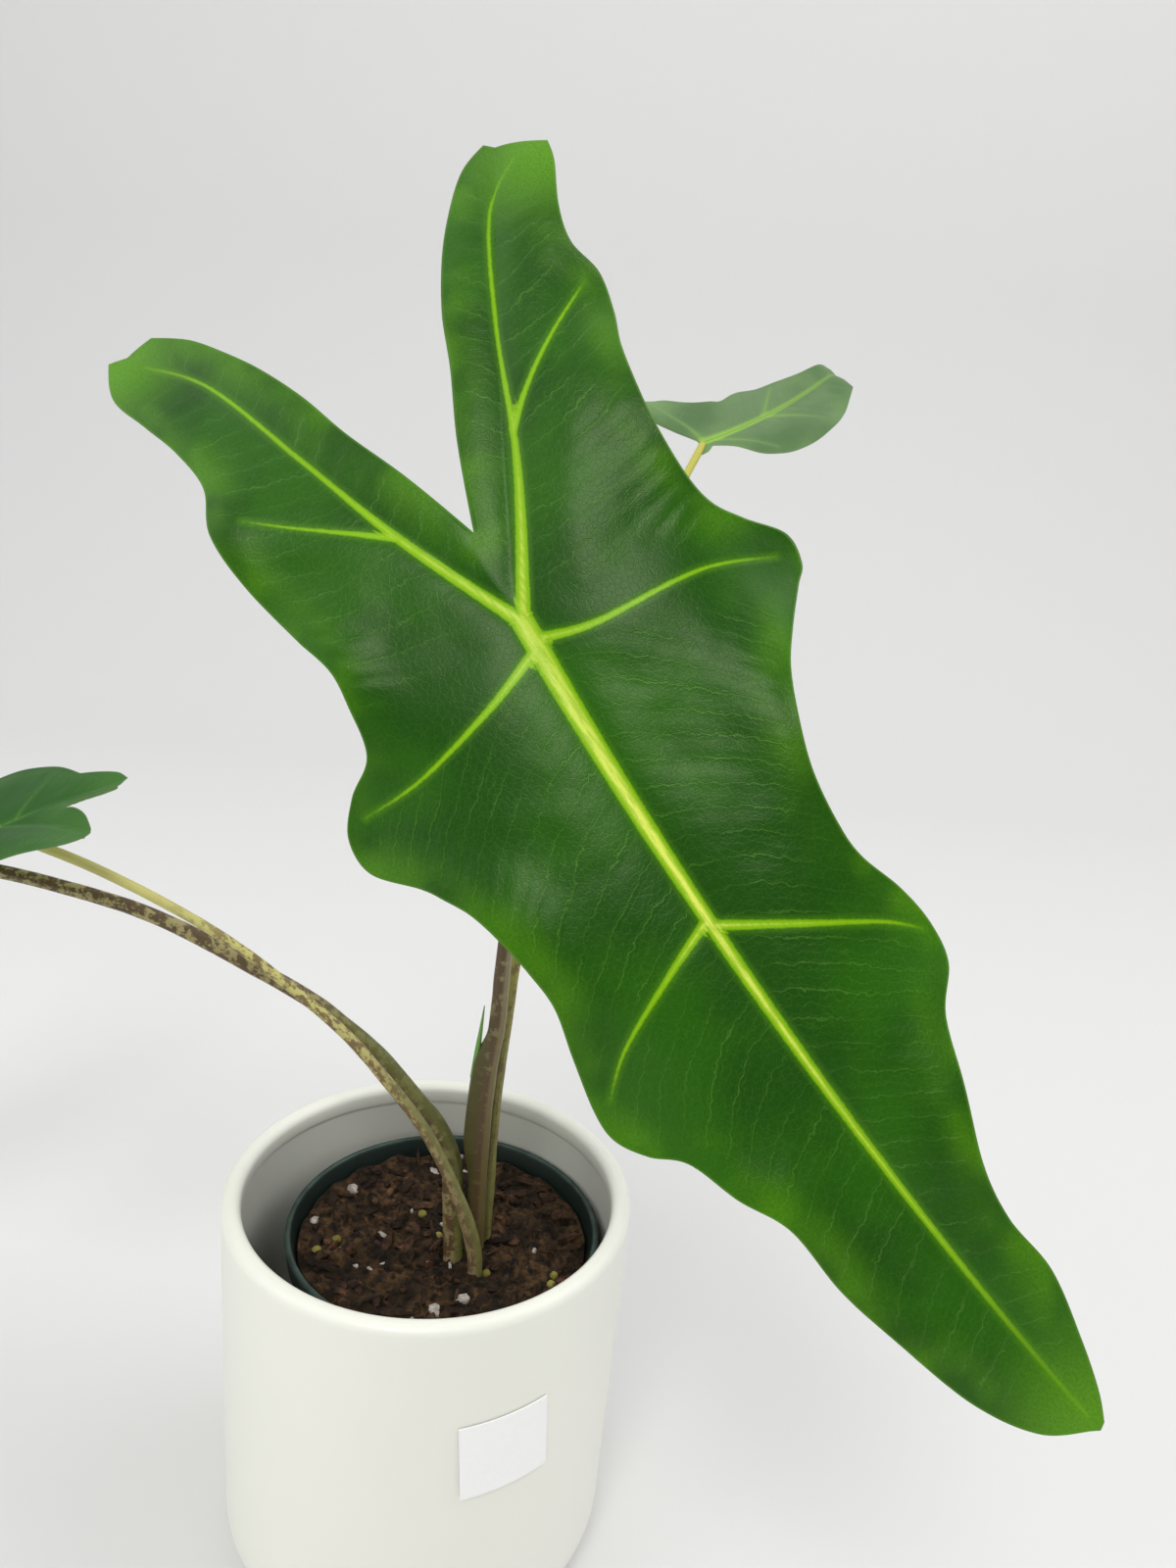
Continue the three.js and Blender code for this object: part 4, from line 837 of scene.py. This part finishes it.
def vein_pattern(kind, s, w):
    """Numbers that the leaf's paint and relief follow, at each (s, w), and the lower face's bulge.
    vein_gap: distance to the nearest pale vein less half its width there, which tapers to a hair as a
    power of what is left of the vein. midrib_gap: the same for the midrib alone. offset: distance to
    that vein's middle with the sign of its side, so that it crosses zero between mesh points, and
    pale_half: half the vein's width. fade: 1 along that vein and 0 at its end. phase: a whole number on
    each fine side vein. Those leave the nearest main vein (midrib, or the vein of either lobe) and
    curve forwards: they lie where t - 0.3 d - 0.012 d^2 is a multiple of the spacing, t being the
    distance along the main vein and d the distance from it. clear: 0 where two main veins are equally
    near, since the lines meet there. bulge: 1.9 r (1 - (d / 1.5 r)^2)^2 round a vein of radius r, and
    a knob at the joint."""
    gap, offset, fade = np.full(len(s), FAR), np.full(len(s), FAR), np.ones(len(s))
    pale_half, bulge = np.zeros(len(s)), np.zeros(len(s))
    reach, along = [], []
    for order, (route, wide) in enumerate(kind["veins"]):
        line = vein_line(kind, route)
        distance, share, side = distance_to(line, s, w)
        radius = wide + ((VEIN_END if order else kind["midrib_end"]) - wide) * share
        power = TAPER_POWERS[order] if order < MAIN_VEINS else SIDE_TAPER_POWER
        half = kind["pale"] * wide * (0.15 + 0.95 * (1 - share) ** power)
        nearer = distance - half < gap
        fade = np.where(nearer, smoothstep(1 - share, 0.0, 0.3), fade)
        offset = np.where(nearer, distance * side, offset)
        pale_half = np.where(nearer, half, pale_half)
        gap = np.minimum(gap, distance - half)
        if order == 0:
            midrib_gap = gap.copy()
        outward = np.minimum(1, distance / (BULGE_REACH * radius))
        bulge = np.maximum(bulge, BULGE_HEIGHT * radius * (1 - outward ** 2) ** 2)
        if order < MAIN_VEINS:
            length = np.linalg.norm(np.diff(line, axis=0), axis=1).sum()
            reach.append(distance)
            along.append(share * length + VEIN_SHIFT * order)
    hub = HUB_SHARE * kind["veins"][0][1]
    bulge = np.maximum(bulge, 2 * np.sqrt(np.maximum(0, hub ** 2 - s ** 2 - w ** 2)))
    t = np.array(along)[np.argmin(reach, 0), np.arange(len(s))]
    away, next_away = np.sort(reach, axis=0)[:2]
    warp = 2.4 * leaf_noise(s, w, 24, 31) + 0.8 * leaf_noise(s, w, 7, 32)
    phase = (t - SIDE_LEAN * away - SIDE_CURVE * away ** 2 + warp) / kind["spacing"]
    numbers = {"vein_gap": gap, "midrib_gap": midrib_gap, "offset": offset, "pale_half": pale_half,
               "fade": fade, "phase": phase, "clear": smoothstep(next_away - away, 1, 6)}
    return numbers, bulge


def fine_blade(name, leaf):
    """A closed blade. Both halves go into one list of (s, w) points, merged where they meet; edges that
    only one quad uses are its rim. The two faces lie half a thickness from the middle sheet, thinning
    to a third at the rim, and the lower one also stands out along the veins."""
    kind = leaf["kind"]
    rows, columns = leaf["grid"]
    halves = [half_grid(kind, side, rows, columns) for side in ("right", "left")]
    quads = grid_quads(rows, columns)
    quads = np.vstack([quads, quads[:, ::-1] + rows * columns])
    flat = np.vstack([half.reshape(-1, 2) for half in halves])
    _, first, number = np.unique(np.round(flat, 3), axis=0, return_index=True, return_inverse=True)
    flat, quads = flat[first], number.ravel()[quads]
    quads = quads[(quads != np.roll(quads, 1, axis=1)).all(1)]
    s, w = flat.T

    edges = np.stack([quads, np.roll(quads, -1, axis=1)], -1).reshape(-1, 2)
    codes, twins = edges @ [len(flat), 1], edges @ [1, len(flat)]
    rim = edges[~np.isin(codes, twins)]
    edge_gap = distance_to_points(flat[np.unique(rim)], s, w)
    numbers, bulge = vein_pattern(kind, s, w)
    gap = numbers["vein_gap"]
    numbers["clear"] *= smoothstep(gap, 0.2, 1.5) * smoothstep(edge_gap, 1.5, 4)
    lobe_ends = [kind[side + "_lobe"][1][0] for side in ("right", "left")]
    ends = np.array([*lobe_ends, [kind["length"], 0]], float)
    numbers["edge_gap"] = edge_gap
    numbers["tip_gap"] = distance_to_points(ends, s, w) / kind["half"]

    thick = leaf["thickness"] / 2 * (0.35 + 0.65 * smoothstep(edge_gap, 0, 5))
    relief = fine_relief(s, w, gap, edge_gap, numbers["phase"], numbers["clear"])
    middle, normal = place_on(leaf, s, w), normals_on(leaf, s, w)
    upper = middle + normal * (thick + relief)[:, None]
    lower = middle - normal * (thick - relief + leaf["scale"] * bulge)[:, None]
    count = len(flat)
    walls = np.stack([rim[:, 0], rim[:, 0] + count, rim[:, 1] + count, rim[:, 1]], -1)
    attributes = {key: np.tile(values, 2) for key, values in numbers.items()}
    attributes["upper"] = np.repeat([1.0, 0.0], count)
    uv = np.tile(flat, (2, 1)) / UV_SCALE + UV_SHIFT
    return new_piece(name + "_blade", np.vstack([upper, lower]),
                     np.vstack([quads, quads[:, ::-1] + count, walls]),
                     attributes, uv, replaces=[name], slot="leaf_green", sharp=180)


def fine_relief(s, w, gap, edge_gap, phase, clear):
    """Small relief in millimetres: the main veins lie in a shallow groove, and the blade is puffed up
    between fine side veins by a share of |sin(pi phase)|, most near the margin and in some patches
    more than in others. Low lumps of three sizes are added."""
    groove = -0.14 * np.exp(-(np.maximum(gap + 0.5, 0) / 0.8) ** 2)
    height = 0.045 + 0.16 * (1 - smoothstep(edge_gap, 3, 22)) * (0.5 + leaf_noise(s, w, 14, 23))
    puffed = height * (np.abs(np.sin(np.pi * phase)) - 0.6) * clear
    lumps = leaf_noise(s, w, 26, 21) + 0.3 * leaf_noise(s, w, 11, 24) + 0.08 * leaf_noise(s, w, 4.5, 22)
    lumps = lumps * (0.25 + 0.75 * smoothstep(edge_gap, 0, 12))
    return groove + puffed + lumps * smoothstep(gap, 0, 12)


leaf_pieces = {name: fine_blade(name, leaf) for name, leaf in LEAVES.items()}

# %% [markdown]
# ## Finish: leaves
# The paint follows the numbers that each point of a blade carries. The green is laid in layers, each
# over a share of the one below: it brightens in patches towards the margin and the tips, which is
# painted light shining through the thin blade there, and fine light lines mark the side veins. The main
# veins are pale, with a lighter heart and an uneven edge.

# %% Paint the leaves
def leaf_finish(name, colours, shown="vein_gap", soft=0.32, roughness=0.33, specular=0.21):
    """Green blade with pale veins. colours are the blade's three greens, its fine side veins, the edge
    and the heart of a pale vein, and the lower face. shown is the distance that the pale veins follow,
    and soft the width of their edge."""
    deep, middle, bright, line, vein, vein_heart, back = colours
    finish = Finish(name, roughness, specular, Specular_Tint=(0.9, 1.0, 0.7, 1.0))
    gap, offset, pale_half, fade, edge_gap, phase, clear, tip_gap, upper = map(finish.attribute, (
        "vein_gap", "offset", "pale_half", "fade", "edge_gap", "phase", "clear", "tip_gap", "upper"))
    place = finish.place("UV")
    broad, patch, fine, grain = (finish.noise(place, scale, detail) for scale, detail in (
        (3.2, 3.0), (7.0, 1.5), (45.0, 3.0), (170.0, 3.0)))
    cells = node(finish.tree, "TexVoronoi", "Distance", {"Vector": place, "Scale": 70.0},
                 feature="DISTANCE_TO_EDGE")
    net = cells.between(0.0, 0.08, 1.0, 0.0)

    side_veins = (phase + fine * 0.5).math("PINGPONG", 0.5).between(0.0, 0.05, 1.0, 0.0)
    finer_veins = (phase * 3.0 + fine * 2.2).math("PINGPONG", 0.5).between(0.0, 0.1, 0.35, 0.0)
    drawn = side_veins.math("MAXIMUM", finer_veins) * clear * patch.between(0.38, 0.62, 0.3, 1.0)
    # painted light: the blade brightens in patches near the margin and at the lobe ends and the tip, as
    # light shining through the thin leaf
    margin = edge_gap.between(0.0, 11.0, 0.6, 0.0) * patch.between(0.36, 0.7, 0.1, 0.9)
    tip_glow = tip_gap.between(0.05, 0.6, 0.95, 0.0)
    green = broad.between(0.4, 0.65).mix(deep, middle)
    for share, colour in ((margin.math("MAXIMUM", tip_glow), bright),
                          (gap.between(0.0, 1.6, 0.35, 0.0), bright),
                          (net * 0.07, line),
                          (drawn * 0.36, line),
                          (grain.between(0.35, 0.7, 0.0, 0.3), deep),
                          (edge_gap.between(0.1, 0.6, 0.5, 0.0), line),
                          (gap.between(-0.3, 0.3, 0.3, 0.0), vein)):
        green = share.mix(green, colour)

    inside = (offset.math("ABSOLUTE") - pale_half).math("MAXIMUM", finish.attribute(shown) - 0.35)
    ragged = inside + (grain * 0.3 + fine * 0.3 - 0.3)
    stretched = node(finish.tree, "Mapping", "Vector", {"Vector": place, "Scale": (0.12, 1.0, 1.0)})
    streaks = finish.noise(stretched, 130.0, 3.0)
    down = node(finish.tree, "SeparateXYZ", "X", {0: place})
    heart = ragged.between(-1.4, -0.3, 1.0, 0.0) * down.between(UV_SHIFT - 0.05, UV_SHIFT + 0.6, 0.5, 1.0)
    pale = streaks.between(0.45, 0.6, 0.0, 0.45).mix(heart.mix(vein, vein_heart), vein)
    top = (ragged.between(-soft, soft, 1.0, 0.0) * fade).mix(green, pale)
    under = gap.between(-0.3, 0.6, 0.85, 0.0).mix(back, vein_heart)
    relief = fine * 0.8 + grain * 0.5 - (drawn * 0.9 + net * 0.3)
    finish.paint(upper.mix(under, top), relief, 0.16)
    return finish


# the third green is also the painted light shining through the blade at its margin and tips
grown_leaf = leaf_finish("grown_leaf", [(18, 67, 0), (32, 86, 0), (84, 142, 3), (90, 136, 48),
                                        (120, 170, 1), (212, 224, 92), (112, 150, 84)])
left_leaf = leaf_finish("left_leaf", [(34, 78, 24), (46, 90, 34), (62, 106, 44), (82, 118, 66),
                                      (104, 148, 56), (116, 158, 66), (112, 146, 92)],
                        "midrib_gap", 0.5, 0.42, 0.16)
# the back leaf's greys are partly its own paler young green and partly painted sheen: the grey of the pale
# backdrop that it reflects
back_leaf_painted_sheen = leaf_finish("back_leaf_painted_sheen", [(72, 104, 62), (96, 122, 84), (108, 140, 84), (112, 138, 96),
                                      (132, 172, 76), (150, 188, 84), (122, 152, 104)],
                        "midrib_gap", 0.9, 0.5, 0.35)
grown_leaf.cover(leaf_pieces["leaf_front"], leaf_pieces["leaf_far_left"])
left_leaf.cover(leaf_pieces["leaf_left"])
back_leaf_painted_sheen.cover(leaf_pieces["leaf_back"])
print("leaves painted")

# %% [markdown]
# ## Finish: stalks and the new leaf
# The stalks are blotched: pale khaki with brown bars and spots that run together. Each stalk has its
# own colours, and it greens towards the leaf, where the blotches fade. The front stalk keeps few
# blotches on the side away from its sheath, which paints light on that side.

# %% Paint the stalks
def stalk_finish(name, wing_angle, colours, cover, length, fade, lit_side_stripe=0.0):
    """colours are the stalk's low down and high up, the sheath's on its own side, and the blotches'.
    The blotches lie over a share of the stalk given by cover, and fade between the two shares of the
    length in fade. stripe is how much of them is left off the side away from the sheath, which paints
    light on that side: a lighter, lit side."""
    low, high, sheath, blotch = colours
    finish = Finish(name, 0.45, 0.3)
    along, around_x, around_y = map(finish.attribute, ("along", "around_x", "around_y"))
    toward = np.radians(wing_angle)
    side = around_x * float(np.cos(toward)) + around_y * float(np.sin(toward))
    place = node(finish.tree, "CombineXYZ", 0, {0: around_x, 1: around_y, 2: along * 0.42})
    bars, spots, grain = (finish.noise(place, *numbers) for numbers in (
        (0.8, 2.0, 0.5), (2.6, 4.0, 0.65), (9.0, 3.0, 0.5)))
    ground = along.between(0.15 * length, 0.6 * length).mix(low, high)
    leafy = side.between(0.0, 0.7) * along.between(0.3 * length, 0.42 * length, 1.0, 0.0)
    edge = 0.6 - 0.2 * cover
    fading = along.between(fade[0] * length, fade[1] * length, 1.0, 0.0)
    marks = (bars * 0.6 + spots * 0.4).between(edge - 0.045, edge + 0.045)
    # painted light: few blotches on the side away from the sheath make it a lighter, lit side
    marks = marks * side.between(-0.6, -0.1, 1.0 - lit_side_stripe, 1.0) * fading
    marked = (leafy * 0.75).mix((marks * 0.88).mix(ground, blotch), sheath)
    dust = grain.between(0.45, 0.8, 0.0, 0.35) * fading
    finish.paint(dust.mix(marked, blotch), grain, 0.3)
    return finish


for name, *paint in (
        # the front stalk's last number leaves blotches off one side: painted light on that side
        ("stalk_front", [(104, 92, 56), (150, 140, 104), (72, 74, 34), (84, 64, 44)],
         0.85, 255, (1.5, 2.0), 0.8),
        ("stalk_back", [(124, 122, 70), (180, 176, 76), (110, 118, 56), (112, 98, 60)],
         0.35, 330, (0.3, 0.6)),
        ("stalk_left", [(144, 128, 92), (190, 184, 112), (104, 108, 56), (102, 80, 56)],
         0.5, 225, (0.62, 0.78)),
        ("stalk_far_left", [(142, 128, 88), (166, 156, 106), (92, 98, 46), (78, 56, 38)],
         0.6, 300, (1.5, 2.0))):
    stalk_finish(name + "_skin", STALKS[name]["wing_angle"], *paint).cover(stalk_pieces[name])

rolled = Finish("new_leaf_green", 0.4)
rolled.paint(rolled.noise(rolled.place(), 400.0).mix((84, 140, 50), (112, 160, 70)))
rolled.cover(spear)
print("stalks painted")

# %% [markdown]
# ## Finish: pots, label, soil and tuber
# The cover pot's glaze is a soft white with a faint unevenness. The growing pot is dark green plastic,
# paler in patches at the top of its rim. Soil, grains and tuber get earth colours from noise, and each
# bark chip its own tint.

# %% Paint the rest
glaze = Finish("white_glaze", 0.42, 0.45, Coat_Weight=0.25, Coat_Roughness=0.3)
spot = glaze.place()
glaze.paint(glaze.noise(spot, 14.0, 3.0).mix((227, 227, 217), (232, 232, 223)),
            glaze.noise(spot, 900.0), 0.08, 0.0002)
glaze.cover(cover_pot)

plastic = Finish("green_plastic", 0.45)
spot, rim = plastic.place(), GROW_RIM_Z / 1000
scuff = plastic.noise(spot, 120.0, 5.0)
height = node(plastic.tree, "SeparateXYZ", "Z", {0: spot})
# the top of the rim is paler in patches
paler_rim = height.between(rim - 0.0015, rim - 0.0002) * scuff.between(0.35, 0.65, 0.3, 1.0)
plastic.paint(paler_rim.mix((8, 26, 21), (44, 66, 58)), scuff, 0.1)
plastic.cover(growing_pot)

paper = Finish("white_paper", 0.75, 0.3)
paper.paint(paper.noise(paper.place(), 700.0, 4.0).mix((238, 238, 237), (244, 244, 243)))
paper.cover(label)


def earth_finish(name, dark, light, scale, roughness, tinted=False):
    """Earthy colour between dark and light by noise of two sizes, and by each grain's own tint."""
    finish = Finish(name, roughness, 0.25)
    spot = finish.place()
    lumps = finish.noise(spot, scale, 6.0, 0.7)
    share = lumps.between(0.35, 0.68) * finish.noise(spot, scale / 3).between(0.38, 0.6, 0.3, 1.0)
    if tinted:
        share = share * finish.attribute("tint")
    finish.paint(share.mix(dark, light), lumps, 0.6, 0.0006)
    return finish


for piece, *paint in (
        (soil, "peat", (12, 8, 4), (84, 62, 38), 300.0, 0.95),
        (perlite, "perlite", (140, 130, 120), (206, 200, 194), 600.0, 0.9),
        (bark, "bark", (26, 16, 10), (118, 82, 54), 300.0, 0.9, True),
        (pellets, "feed", (104, 96, 40), (150, 142, 70), 200.0, 0.7),
        (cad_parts["tuber"], "tuber_skin", (74, 52, 34), (128, 96, 66), 160.0, 0.85)):
    earth_finish(*paint).cover(piece)
print("materials:", len(bpy.data.materials))

# %% [markdown]
# ## Floor and light
# The photograph's ground is a plain light grey. A large floor runs back and curves up into a wall
# behind the plant. A pale world gives soft light from all sides. An area light high in front models
# the pot and puts the sheen on the leaves, two fill from the left and the right, and one above the
# plant lights the wall.

# %% Floor, wall and lights
def floor_sheet(width=6.0, front=-3.0, back=0.9, bend=0.6, height=4.0, steps=24):
    """A sheet along a line that runs back along the floor, turns up through a quarter circle of radius
    bend, and rises as a wall."""
    angle = np.linspace(0, np.pi / 2, steps + 1)
    line = np.vstack([[front, 0], np.stack([back + bend * np.sin(angle), bend * (1 - np.cos(angle))], -1),
                      [back + bend, height]])
    return [[x, y, z] for y, z in line for x in (-width / 2, width / 2)], grid_quads(len(line), 2)


floor_points, floor_quads = floor_sheet()
floor_mesh = bpy.data.meshes.new("floor")
floor_mesh.from_pydata(floor_points, [], floor_quads.tolist())
floor_mesh.shade_smooth()
floor = placed("floor", floor_mesh)
Finish("backdrop", 0.9, 0.1, Base_Color=(0.71, 0.707, 0.705, 1.0)).cover(floor)


def studio_world(strength, front_share, front=(0.2, -0.9, 0.4)):
    """A pale world that is dimmer in front of the plant: strength falls to front_share of itself as the
    direction nears the front, so that the leaf reflects its side lights and stays deep green between."""
    world = bpy.data.worlds.new("world")
    world.use_nodes = True
    tree = world.node_tree
    direction = node(tree, "TexCoord", "Generated")
    toward = node(tree, "VectorMath", "Value", {0: direction, 1: front}, operation="DOT_PRODUCT")
    background = tree.nodes["Background"]
    background.inputs["Color"].default_value = (0.97, 0.985, 1.0, 1.0)
    dimmed = toward.between(0.2, 0.9, strength, strength * front_share)
    tree.links.new(dimmed.socket, background.inputs["Strength"])
    bpy.context.scene.world = world


LIGHT_COLOUR = (1.0, 0.99, 0.97)


def area_light(name, azimuth, elevation, distance, size, watts, at=(0, 0, 0.2)):
    """A square area light that points at a spot, the plant unless told otherwise, from an azimuth (0 is
    the front, 90 the right)."""
    turn, rise = np.radians(azimuth), np.radians(elevation)
    away = Vector((np.sin(turn) * np.cos(rise), -np.cos(turn) * np.cos(rise), np.sin(rise)))
    data = bpy.data.lights.new(name, "AREA")
    data.size, data.energy, data.color = size, watts, LIGHT_COLOUR
    placed(name, data).matrix_world = (Matrix.Translation(Vector(at) + distance * away)
                                       @ away.to_track_quat("Z", "Y").to_matrix().to_4x4())


studio_world(1.04, 0.42)
area_light("key_softbox", -8, 47, 2.0, 0.65, 16.5)
area_light("left_softbox", -68, 34, 2.0, 1.3, 6)
area_light("right_softbox", 100, 50, 2.0, 1.5, 11)
area_light("wall_softbox", 0, 35, 1.3, 2.0, 4, (0, 1.5, 1.0))
bpy.context.scene.view_settings.view_transform = "Standard"
